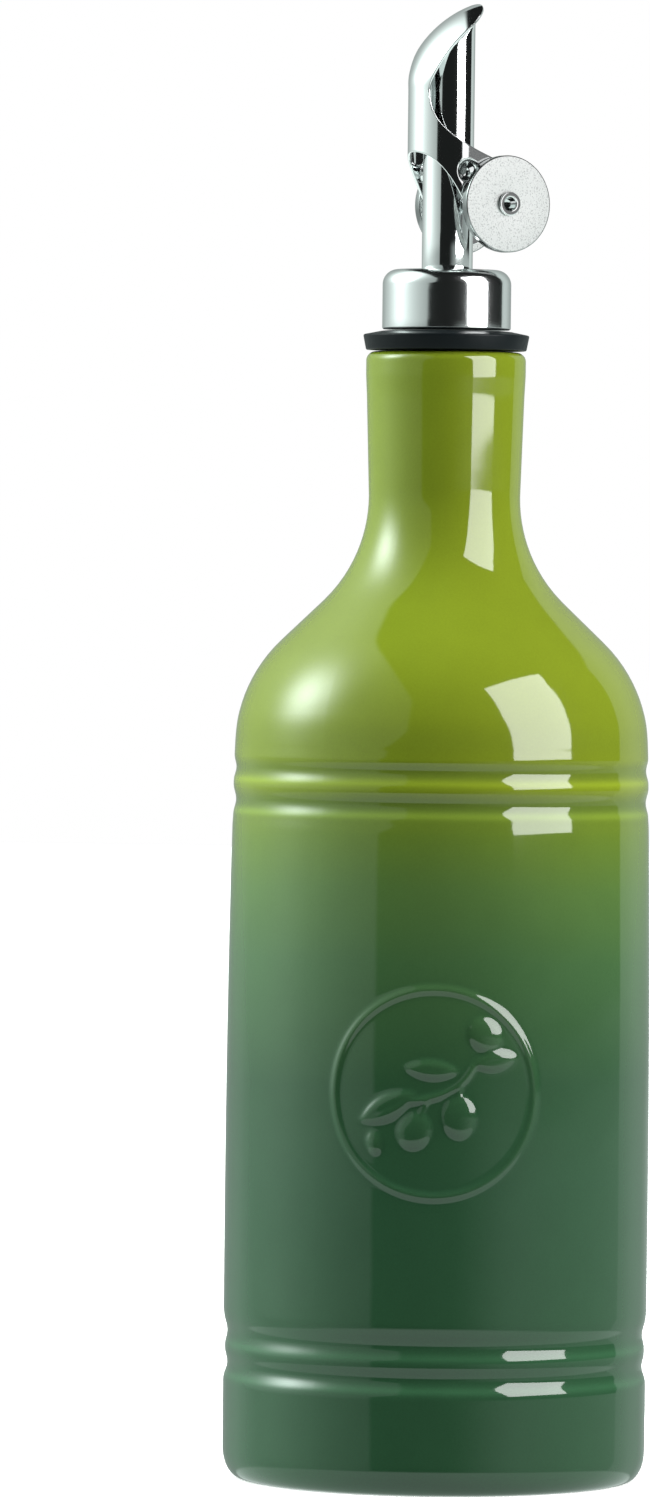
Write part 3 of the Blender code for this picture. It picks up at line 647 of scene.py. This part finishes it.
# Glaze pools in the grooves above this height. The lower ones are too dark to show any.
LOWEST_POOL = 80.0
# A groove's paler line: how far below its middle, half its width, and the least depth that has one.
LINE_DROP, LINE_HALF, LINE_LEAST = 2.1, 0.8, 0.4
fine = np.linspace(-FINE_HALF, FINE_HALF, FINE_COLUMNS)
coarse = np.linspace(FINE_HALF, 360.0 - FINE_HALF, COARSE_COLUMNS)[1:-1]
angles = np.radians(np.concatenate([fine, coarse]))
radius = np.repeat(outline[:, :1], len(angles), axis=1)
height = np.repeat(outline[:, 1:], len(angles), axis=1)
turned_by = np.mod(angles + math.pi, math.tau) - math.pi
across = np.repeat(turned_by[None, :] * BODY_RADIUS / MM, len(outline), axis=0)
upward = height / MM - MEDALLION_HEIGHT
on_front = (np.abs(across) < RELIEF_HALF) & (np.abs(upward) < RELIEF_HALF) & (radius > 40.0 * MM)
proud = np.where(on_front, relief(across, upward), 0.0)
spread = proud
for _ in range(SPREADING_ROUNDS):
    spread = melted(spread)
hollow = np.clip((spread - proud) * HOLLOW_POOL, 0.0, 1.0)
cut = groove_depth(height) / MM * (radius > 39.0 * MM)
pool = np.clip(hollow + cut * CUT_POOL * (height > LOWEST_POOL * MM), 0.0, 1.0)
thin = np.clip((proud - spread) * CREST_THIN, 0.0, 1.0)
lower_edge = np.zeros_like(height)
for middle, deep, _ in GROOVES:
    if deep > LINE_LEAST:
        lower_edge += np.exp(-(((height / MM - middle + LINE_DROP) / LINE_HALF) ** 2))
radius = radius + proud * MM
bottle = surface(
    "bottle_glaze",
    [np.stack([radius * np.sin(angles), -radius * np.cos(angles), height], axis=-1)],
    around=True,
    values={"pool": pool, "thin": thin, "lower_edge": lower_edge},
)
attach(bottle, "bottle_and_spout")
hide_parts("bottle")

# %% [markdown]
# ## The glaze
# Two glazes meet on this bottle: a bright lime one above, and a dark bottle green below, into which
# the first one runs between the grooves and the medallion. Both are glossy and hardly clear. The
# colour follows the height, its limit wanders a little round the bottle as running glaze does, and
# a very fine mottling keeps it from looking like paint.

# %% Mix the glaze
def finish(name):
    """A new material as a wire to start from, and its Principled shader's sockets."""
    material = bpy.data.materials.new(name)
    material.use_nodes = True
    return material, Wire(material.node_tree), material.node_tree.nodes["Principled BSDF"].inputs


def joined(start, socket, wire):
    """Puts a wire into a socket."""
    start.tree.links.new(wire.socket, socket)


def bumped(start, sockets, strength, distance, height):
    """Tilts the surface's shading as if it rose and fell by this height times the distance in metres."""
    bump = {"Strength": strength, "Distance": distance, "Height": height}
    joined(start, sockets["Normal"], start.node("ShaderNodeBump", sockets=bump))


glaze, start, sockets = finish("green_glaze")
place = start.node("ShaderNodeTexCoord", out="Object")
level = start.node("ShaderNodeSeparateXYZ", sockets={"Vector": place}, out="Z")
level = level + (place.noise(22.0, 2.0) - 0.5) * (7.0 * MM)
share = level * (1.0 / BOTTLE_HEIGHT)
# Height in millimetres and the glaze's colour there.
GLAZE_STOPS = [
    (60.0, (0.0205, 0.0640, 0.0295)),
    (80.0, (0.0210, 0.0630, 0.0270)),
    (104.0, (0.0410, 0.0970, 0.0335)),
    (118.0, (0.0635, 0.1240, 0.0300)),
    (128.0, (0.0900, 0.1470, 0.0195)),
    (137.0, (0.1320, 0.1760, 0.0110)),
    (160.0, (0.1400, 0.1850, 0.0110)),
]
stops = [(height * MM / BOTTLE_HEIGHT, colour) for height, colour in GLAZE_STOPS]
colour = start.node("ShaderNodeValToRGB", {"stops": stops}, {"Fac": share}, out="Color")
POOLED_COLOUR = rgb(0.018, 0.055, 0.026)
THIN_COLOUR = rgb(0.060, 0.130, 0.050)
colour = (start.stored("pool") * 0.75).mix(colour, POOLED_COLOUR)
colour = (start.stored("thin") * 0.25).mix(colour, THIN_COLOUR)
fleck = place.noise(2600.0, 1.0)
mottle = place.noise(160.0, 3.0)
value = 1.0 + (fleck - 0.5) * 0.16 + (mottle - 0.5) * 0.10 + start.stored("lower_edge") * 0.42
colour = start.node("ShaderNodeHueSaturation", sockets={"Color": colour, "Value": value})
joined(start, sockets["Base Color"], colour)
joined(start, sockets["Roughness"], 0.055 + (mottle - 0.5) * 0.02)
sockets["IOR"].default_value = 1.50
bumped(start, sockets, 0.30, 0.0004, place.noise(45.0, 1.0))
bottle.data.materials.append(glaze)
print("the glaze has", len(glaze.node_tree.nodes), "nodes")

# %% [markdown]
# ## The rubber flange
# The stopper's flange rests on the lip. It is moulded rubber: a flat disc whose edge leans out a
# little, with small round corners.

# %% Turn the flange
GAP = 0.3 * MM
FLANGE_BOTTOM = BOTTLE_HEIGHT + GAP
FLANGE_EDGE_TOP = 226.8 * MM
FLANGE_TOP = 227.6 * MM
FLANGE_BOTTOM_RADIUS = 15.9 * MM
FLANGE_TOP_RADIUS = 16.5 * MM
COLLAR_RADIUS = 12.75 * MM
flange_outline = rounded(
    [(0.0, FLANGE_TOP), (COLLAR_RADIUS, FLANGE_TOP), (FLANGE_TOP_RADIUS, FLANGE_EDGE_TOP + 0.05 * MM),
     (FLANGE_BOTTOM_RADIUS, FLANGE_BOTTOM), (0.0, FLANGE_BOTTOM)],
    [0.4 * MM, 0.4 * MM, 0.3 * MM],
)
flange = surface("rubber_flange", [turned(flange_outline, 128)], around=True)
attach(flange, "bottle_and_spout")
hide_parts("stopper_flange")

rubber, start, sockets = finish("black_rubber")
place = start.node("ShaderNodeTexCoord", out="Object")
grain = place.noise(900.0, 2.0)
joined(start, sockets["Roughness"], 0.40 + (grain - 0.5) * 0.2)
sockets["Base Color"].default_value = rgb(0.003, 0.005, 0.006)
sockets["Specular IOR Level"].default_value = 0.12
bumped(start, sockets, 0.15, 0.0001, grain)
flange.data.materials.append(rubber)

# %% [markdown]
# ## The three finishes of steel
# The collar is satin: turned against an abrasive, so it has a soft sheen with a fine grain round it.
# The tube, the flap and the rivet are polished. The two weights are blasted with fine beads, which
# leaves them pale and even, apart from their rims, which are smoother and carry painted shade in their
# colour to darken them. All three differ in how bright and how rough they are, and in a bump too fine
# to model.

# %% Finish the steel
PIT_COLOUR = rgb(0.20, 0.21, 0.21)
# The weights' rims get painted shade: a dark colour that stands for the shade at their edge.
PAINTED_RIM_SHADE = rgb(0.27, 0.28, 0.28)


def steel(name, colour, roughness, uneven, grain, bump, stretch=(1.0, 1.0, 1.0), rim=None, pits=0.0):
    """Steel whose roughness and surface vary by a fine noise, which stretch presses closer along an axis.

    Uneven is how much the roughness varies, grain the noise's waves a metre, and bump its height in
    metres. Where the stored rim is 1, the colour is darkened with painted shade, and the surface has that
    roughness and no grain. Pits is how dark the low places of the grain are.
    """
    material, start, sockets = finish(name)
    place = start.node("ShaderNodeTexCoord", out="Object")
    drawn = start.node("ShaderNodeMapping", sockets={"Vector": place, "Scale": stretch})
    rough = drawn.noise(grain, 3.0)
    sockets["Base Color"].default_value = rgb(*colour)
    if rim is not None:
        on_rim = start.stored("rim")
        pitted = rough.between(0.50, 0.34) * (1.0 - on_rim) * pits
        rough = 0.5 + (rough - 0.5) * (1.0 - on_rim)
        roughness = roughness + on_rim * (rim - roughness)
        face = pitted.mix(rgb(*colour), PIT_COLOUR)
        # Painted shade: the rim's colour is darkened.
        joined(start, sockets["Base Color"], on_rim.mix(face, PAINTED_RIM_SHADE))
    joined(start, sockets["Roughness"], roughness + (rough - 0.5) * uneven)
    sockets["Metallic"].default_value = 1.0
    bumped(start, sockets, 0.5, bump, rough)
    print(name, "has", len(material.node_tree.nodes), "nodes")
    return material


satin = steel("satin_steel", (0.74, 0.76, 0.76), 0.13, 0.07, 1500.0, 0.000006, stretch=(1.0, 1.0, 3.0))
polished = steel("polished_steel", (0.80, 0.82, 0.82), 0.07, 0.03, 700.0, 0.000002)
blasted = steel("blasted_steel", (0.90, 0.91, 0.90), 0.42, 0.20, 3200.0, 0.00005, rim=0.16, pits=0.45)

# %% [markdown]
# ## The collar
# A cap pressed from sheet steel, with a round shoulder and a seat in its top for the tube. Its lower
# edge is turned in a little where it meets the rubber.

# %% Turn the collar
COLLAR_BOTTOM = FLANGE_TOP + GAP
COLLAR_TOP = 239.8 * MM
COLLAR_SHOULDER = 3.0 * MM
SEAT_DEPTH = 1.5 * MM
TUBE_RADIUS = 5.05 * MM
SEAT_ROUND = 0.3 * MM
HEM = 0.4 * MM
seat = TUBE_RADIUS + GAP
inside = np.array([(0.0, COLLAR_TOP - SEAT_DEPTH), (seat, COLLAR_TOP - SEAT_DEPTH)])
seat_lip = arc((seat + SEAT_ROUND, COLLAR_TOP - SEAT_ROUND), SEAT_ROUND, 180.0, 90.0, 5)
crown = arc((COLLAR_RADIUS - COLLAR_SHOULDER, COLLAR_TOP - COLLAR_SHOULDER), COLLAR_SHOULDER, 90.0, 0.0, 24)
skirt = np.array([(COLLAR_RADIUS, height * MM) for height in (235.5, 234.0, 232.0, 230.0)])
hem = arc((COLLAR_RADIUS - HEM, COLLAR_BOTTOM + HEM), HEM, 0.0, -90.0, 8)
collar_outline = np.concatenate([inside, seat_lip, crown, skirt, hem, [(0.0, COLLAR_BOTTOM)]])
collar = surface("steel_collar", [turned(collar_outline, 144)], around=True)
collar.data.materials.append(satin)
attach(collar, "bottle_and_spout")
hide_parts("collar")

# %% [markdown]
# ## The tube
# The oil leaves through a thin tube whose mouth is cut on a slant, low on the side it pours to. The
# pourer stands turned in the neck, so its pieces are worked out in a frame of their own, whose first
# axis points the way the oil pours and whose second is the flap's hinge, and then turned into place.
# A cut with a boolean would leave long thin faces, so each column of the grid simply ends at the
# height where the slanted plane passes.

# %% Draw the tube
POURER_TURN = math.radians(211.0)
TUBE_WALL = 0.5 * MM
TUBE_BOTTOM = COLLAR_TOP - SEAT_DEPTH + GAP
TUBE_FLOOR = 1.2 * MM
MOUTH_HEIGHT = 285.6 * MM
MOUTH_SLANT = math.radians(50.0)
TUBE_ROUND = 0.2 * MM
TUBE_COLUMNS = 96


def in_neck(places):
    """Turns places from the pourer's frame to the bottle's, about the upright axis."""
    cosine, sine = math.cos(POURER_TURN), math.sin(POURER_TURN)
    x, y, z = places[..., 0], places[..., 1], places[..., 2]
    return np.stack([x * cosine - y * sine, x * sine + y * cosine, z], axis=-1)


def tube_places():
    """Rows from the floor of the bore up its wall, over the round lip, down the outside and under."""
    angle = np.linspace(0.0, math.tau, TUBE_COLUMNS, endpoint=False)
    inner = TUBE_RADIUS - TUBE_WALL
    over = np.linspace(math.pi, 0.0, 9)
    bore_floor = TUBE_BOTTOM + TUBE_FLOOR
    inside = [0.02, 0.5, 0.98]
    outside = [0.98, 0.8, 0.6, 0.4, 0.2, 0.02]
    lip = TUBE_RADIUS - TUBE_WALL / 2 + TUBE_WALL / 2 * np.cos(over)
    radii = [0.0, inner - TUBE_ROUND] + [inner] * len(inside) + list(lip)
    radii += [TUBE_RADIUS] * len(outside) + [TUBE_RADIUS - TUBE_ROUND, 0.0]
    share = [0.0, 0.0] + inside + [1.0] * len(lip) + outside + [0.0, 0.0]
    lip_row = 2 + len(inside)
    low = np.where(np.arange(len(radii)) < lip_row, bore_floor, TUBE_BOTTOM)[:, None]
    radii = np.array(radii)[:, None]
    share = np.array(share)[:, None]
    mouth = MOUTH_HEIGHT - radii * np.cos(angle) / math.tan(MOUTH_SLANT)
    height = low + (mouth - low) * share
    height[lip_row:lip_row + len(lip)] += (TUBE_WALL / 2 * (np.sin(over) - 1.0))[:, None]
    return np.stack([radii * np.cos(angle), radii * np.sin(angle), height], axis=-1)


tube = surface("steel_tube", [in_neck(tube_places())], around=True)
tube.data.materials.append(polished)
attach(tube, "bottle_and_spout")
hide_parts("spout_tube")

# %% [markdown]
# ## The flap
# One piece of sheet steel is cut, bent to a U round the tube and stamped. Its tongue leans back over
# the mouth in two bends, and its two ears reach down to the weights. A dimple in each ear reaches in
# to the tube and makes the hinge. It is drawn here as it was made: each place is first measured on the
# flat sheet, then bent.

# %% Bend a place of the flat sheet
SHEET_RADIUS = 8.1 * MM
SHEET_THICKNESS = 0.55 * MM
BEND_START = 275.9 * MM
FIRST_BEND_RADIUS, FIRST_BEND_ANGLE = 8.5 * MM, math.radians(20.0)
SECOND_BEND_RADIUS, SECOND_BEND_ANGLE = 23.2 * MM, math.radians(50.0)
WAIST_HEIGHT = 275.0 * MM
PIVOT_HEIGHT = 259.1 * MM
DIMPLE_RADIUS = 2.4 * MM
DIMPLE_DEPTH = SHEET_RADIUS - SHEET_THICKNESS - TUBE_RADIUS - GAP
QUARTER = SHEET_RADIUS * math.pi / 2


def bezier(points, t):
    """A curve with four control points: powers of t and 1-t weigh them 1, 3, 3 and 1."""
    t, s = t[:, None], 1.0 - t[:, None]
    return s**3 * points[0] + 3 * s * s * t * points[1] + 3 * s * t * t * points[2] + t**3 * points[3]


def bent(across, height, flatter=1.0):
    """Where places of the flat sheet go once it is bent.

    Up the sheet it runs straight, then along two arcs that lean it back over the tube. Across the
    sheet it follows a half circle and then runs straight back as the ears. Flatter makes that circle
    wider than the tube's by so many times.
    """
    away = np.hypot(np.abs(across) - QUARTER, height - PIVOT_HEIGHT)
    inward = DIMPLE_DEPTH * smooth_step(1.5 * (1.0 - away / DIMPLE_RADIUS))
    above = height - BEND_START
    first = FIRST_BEND_RADIUS * FIRST_BEND_ANGLE
    lean_1 = np.clip(above / FIRST_BEND_RADIUS, 0.0, FIRST_BEND_ANGLE)
    lean_2 = FIRST_BEND_ANGLE + np.clip(above - first, 0.0, None) / SECOND_BEND_RADIUS
    lean = np.where(above <= first, lean_1, lean_2)
    x = SHEET_RADIUS - FIRST_BEND_RADIUS * (1.0 - np.cos(lean_1))
    x = x - SECOND_BEND_RADIUS * (math.cos(FIRST_BEND_ANGLE) - np.cos(lean_2))
    z = BEND_START + np.minimum(above, 0.0) + FIRST_BEND_RADIUS * np.sin(lean_1)
    z = z + SECOND_BEND_RADIUS * (np.sin(lean_2) - math.sin(FIRST_BEND_ANGLE))
    radius = SHEET_RADIUS * flatter - inward
    angle = np.minimum(np.abs(across), QUARTER) / (SHEET_RADIUS * flatter)
    drop = SHEET_RADIUS * flatter - radius * np.cos(angle) + np.maximum(np.abs(across) - QUARTER, 0.0)
    y = np.sign(across) * radius * np.sin(angle)
    return np.stack([x - np.cos(lean) * drop, y, z - np.sin(lean) * drop], axis=-1)


flat_tip = np.array([0.0]), np.array([WAIST_HEIGHT + 24.0 * MM])
print("24 mm above the waist the bent sheet is at", (bent(*flat_tip)[0] / MM).round(1), "mm")

# %% [markdown]
# ## The flap's cut outline
# The strap runs from ear to ear between two drawn curves, an upper and a lower edge, and its rows are
# laid between them. The tongue starts at the strap's waist and widens to a round tip. Both share the
# places along the waist, so they weld into one sheet. Cutting it from a finer sheet with booleans
# would leave ragged edges, and rows that follow the edges keep them clean. The sheet's thickness comes
# from a Solidify modifier, and a small Bevel rounds the cut edges so that they catch the light. The
# bevel's clamp is off, because the shortest edges near the round ends would make it far too thin.

# %% Cut and bend the flap
EAR_UPPER = np.array([(4.25, 275.0), (4.6, 268.0), (10.5, 264.8), (19.5, 261.5)]) * MM
EAR_LOWER = np.array([(0.0, 262.9), (6.4, 262.8), (9.0, 258.6), (13.6, 249.6)]) * MM
WEIGHT_BACK = 7.9 * MM
WEIGHT_HEIGHT = 252.8 * MM
LOBE_RADIUS = 8.0 * MM
WAIST_HALF = 4.25 * MM
TONGUE_HALF = 7.3 * MM
TONGUE_END = 8.0 * MM
EDGE_ROUND = 0.14 * MM
# How far along the lower edge the tongue's side comes, and where the upper edge turns straight.
LOWER_SPLIT, UPPER_CURVED = 0.22, 0.82
MIDDLE_COLUMNS, EAR_COLUMNS, LOBE_COLUMNS = 12, 60, 18
STRAP_ROWS, TONGUE_ROWS = 26, 44


def half_strap():
    """Points along the strap's lower and upper edges, from its middle to the round end of an ear."""
    lobe = np.array([QUARTER + WEIGHT_BACK, WEIGHT_HEIGHT])
    leaving = EAR_UPPER[3] - EAR_UPPER[2]
    upper_angle = math.degrees(math.atan2(leaving[0], -leaving[1]))
    lower_end = EAR_LOWER[3] - lobe
    lower_angle = math.degrees(math.atan2(lower_end[1], lower_end[0]))
    lower_angle -= 360.0 if lower_angle > 0.0 else 0.0
    middle_angle = (upper_angle + lower_angle) / 2
    end_top = arc(lobe, LOBE_RADIUS, upper_angle, middle_angle, LOBE_COLUMNS)
    end_low = arc(lobe, LOBE_RADIUS, lower_angle, middle_angle, LOBE_COLUMNS)
    share = np.linspace(0.0, 1.0, MIDDLE_COLUMNS + 1)[:-1]
    low_1 = bezier(EAR_LOWER, LOWER_SPLIT * share)
    top_1 = np.column_stack([WAIST_HALF * share, np.full_like(share, WAIST_HEIGHT)])
    share = np.linspace(0.0, 1.0, EAR_COLUMNS + 1)
    low_2 = bezier(EAR_LOWER, LOWER_SPLIT + (1.0 - LOWER_SPLIT) * share)
    on_curve = bezier(EAR_UPPER, np.minimum(share / UPPER_CURVED, 1.0))
    on_line = np.clip((share - UPPER_CURVED) / (1.0 - UPPER_CURVED), 0.0, 1.0)[:, None]
    top_2 = on_curve + (end_top[0] - EAR_UPPER[3]) * on_line
    low = np.concatenate([low_1, low_2, end_low[1:]])
    return low, np.concatenate([top_1, top_2, end_top[1:]])


def strap_places():
    """Rows from the upper edge down to the lower one, columns from ear to ear."""
    low, top = half_strap()
    flip = np.array([-1.0, 1.0])
    low = np.concatenate([low[:0:-1] * flip, low])
    top = np.concatenate([top[:0:-1] * flip, top])
    share = np.linspace(0.0, 1.0, STRAP_ROWS + 1)[:, None, None]
    flat = top + (low - top) * share
    return bent(flat[..., 0], flat[..., 1])


def tongue_places():
    """Rows from the round tip down to the waist: straight across below, drawn out to an arc above."""
    a = np.linspace(-1.0, 1.0, 2 * MIDDLE_COLUMNS + 1)[None, :]
    share = np.linspace(1.0, 0.0, TONGUE_ROWS + 1)[:, None]
    tip = BEND_START + FIRST_BEND_RADIUS * FIRST_BEND_ANGLE + SECOND_BEND_RADIUS * SECOND_BEND_ANGLE
    side = WAIST_HEIGHT + (tip - TONGUE_END - WAIST_HEIGHT) * share
    half = WAIST_HALF + (TONGUE_HALF - WAIST_HALF) * np.sin(share * math.pi / 2) ** 1.1
    across = half * (a + (np.sin(a * math.pi / 2) - a) * share)
    flatter = 1.0 + smooth_step(share / 0.7)
    return bent(across, side + TONGUE_END * share**2 * np.cos(a * math.pi / 2), flatter)


flap = surface("steel_flap", [in_neck(strap_places()), in_neck(tongue_places())], weld=0.01 * MM)
sheet = flap.modifiers.new("sheet", "SOLIDIFY")
sheet.thickness = SHEET_THICKNESS
sheet.offset = -1.0
sheet.use_even_offset = True
edge = flap.modifiers.new("edge", "BEVEL")
edge.width = EDGE_ROUND
edge.segments = 3
edge.use_clamp_overlap = False
edge.limit_method = "ANGLE"
edge.angle_limit = math.radians(50.0)
flap.data.materials.append(polished)
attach(flap, "flap")
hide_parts("flap_hood")

# %% [markdown]
# ## The weights and their rivet
# Two thick steel discs hang behind the tube, one on each ear, and a hollow rivet holds them. Their
# pull keeps the flap shut. All three are turned about the rivet's line.

# %% Turn the weights and the rivet
WEIGHT_RADIUS = 9.6 * MM
WEIGHT_THICKNESS = 1.9 * MM
WEIGHT_INNER_FACE = SHEET_RADIUS + GAP
RIVET_RADIUS = 1.65 * MM
RIVET_BORE = 1.3 * MM
RIVET_HEAD = 2.35 * MM
RIVET_HEAD_THICKNESS = 0.45 * MM
RIVET_HOLE = RIVET_RADIUS + GAP


def on_rivet(places):
    """Lays a piece that was turned upright along the rivet's line, and turns it with the pourer."""
    x, y, z = places[..., 0], places[..., 1], places[..., 2]
    return in_neck(np.stack([x - WEIGHT_BACK, z, WEIGHT_HEIGHT - y], axis=-1))


def weight(name, node, side):
    """A flat ring with rounded edges, outside one ear."""
    inner = side * WEIGHT_INNER_FACE
    outer = side * (WEIGHT_INNER_FACE + WEIGHT_THICKNESS)
    low, high = min(inner, outer), max(inner, outer)
    face = (RIVET_HOLE + WEIGHT_RADIUS) / 2
    outline = rounded(
        [(face, high), (WEIGHT_RADIUS, high), (WEIGHT_RADIUS, low), (RIVET_HOLE, low), (RIVET_HOLE, high),
         (face, high)],
        [0.3 * MM, 0.3 * MM, 0.15 * MM, 0.15 * MM],
    )
    grid = turned(outline, 120)
    # The rim, the outermost quarter millimetre, is smoother and gets painted shade in its colour.
    rim = np.hypot(grid[..., 0], grid[..., 1]) > WEIGHT_RADIUS - 0.25 * MM
    piece = surface(name, [on_rivet(grid)], around=True, values={"rim": rim * 1.0})
    piece.data.materials.append(blasted)
    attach(piece, "flap")
    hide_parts(node)
    return piece


weights = [weight("front_weight", "weight_front", 1.0), weight("back_weight", "weight_back", -1.0)]

head_face = WEIGHT_INNER_FACE + WEIGHT_THICKNESS + GAP
head_end = head_face + RIVET_HEAD_THICKNESS
head = [(RIVET_BORE, head_end), (RIVET_HEAD, head_end), (RIVET_HEAD, head_face), (RIVET_RADIUS, head_face)]
tail = [(x, -z) for x, z in reversed(head)]
rivet_outline = rounded(
    [(RIVET_BORE, 0.0)] + head + tail + [(RIVET_BORE, 0.0)],
    [0.3 * MM, 0.2 * MM, 0.1 * MM, 0.0, 0.0, 0.1 * MM, 0.2 * MM, 0.3 * MM],
)
rivet = surface("hollow_rivet", [on_rivet(turned(rivet_outline, 64))], around=True)
rivet.data.materials.append(polished)
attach(rivet, "flap")
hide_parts("weight_rivet")

# %% [markdown]
# ## Shade the box from the flat pieces
# The discs and the ears of the flap are flat, and they face just so that they would throw the whole
# soft box at the camera as plain white. A photographer hangs a shade before part of the box. Light
# linking does the same: the bright box skips these pieces. The flap and the rivet get its left part and
# a very dim whole one, and the blasted discs get a dim one. A lamp high on the right, which only the
# flap shows, draws a thin bright line along the edges of its sheet.

# %% Choose what each box lights
def lights(lamp, state, pieces):
    """Makes a lamp skip some pieces, or light only those."""
    group = bpy.data.collections.new(lamp.name + "_group")
    for piece in pieces:
        group.objects.link(piece)
    lamp.light_linking.receiver_collection = group
    for member in group.collection_objects:
        member.light_linking.link_state = state
    print(lamp.name, state, [piece.name for piece in pieces])


EDGE_LIGHT_PLACE = (1.0, -0.1, 1.6)
left_part = soft_box("left_part_of_box", 1.1, behind=0.01, bearing=49.0, width=0.30)
shaded = soft_box("shade_before_box", 0.20, behind=0.02)
dim = soft_box("dim_box", 1.4, behind=0.03)
edge_light = flat_lamp("light_for_sheet_edges", 2.5, 1.4, 0.7)
edge_light.matrix_world = Matrix.Translation(EDGE_LIGHT_PLACE)
edge_light.visible_diffuse = False
lights(box, "EXCLUDE", [flap, rivet, *weights])
lights(left_part, "INCLUDE", [flap, rivet])
lights(shaded, "INCLUDE", [flap, rivet])
lights(dim, "INCLUDE", weights)
lights(edge_light, "INCLUDE", [flap])
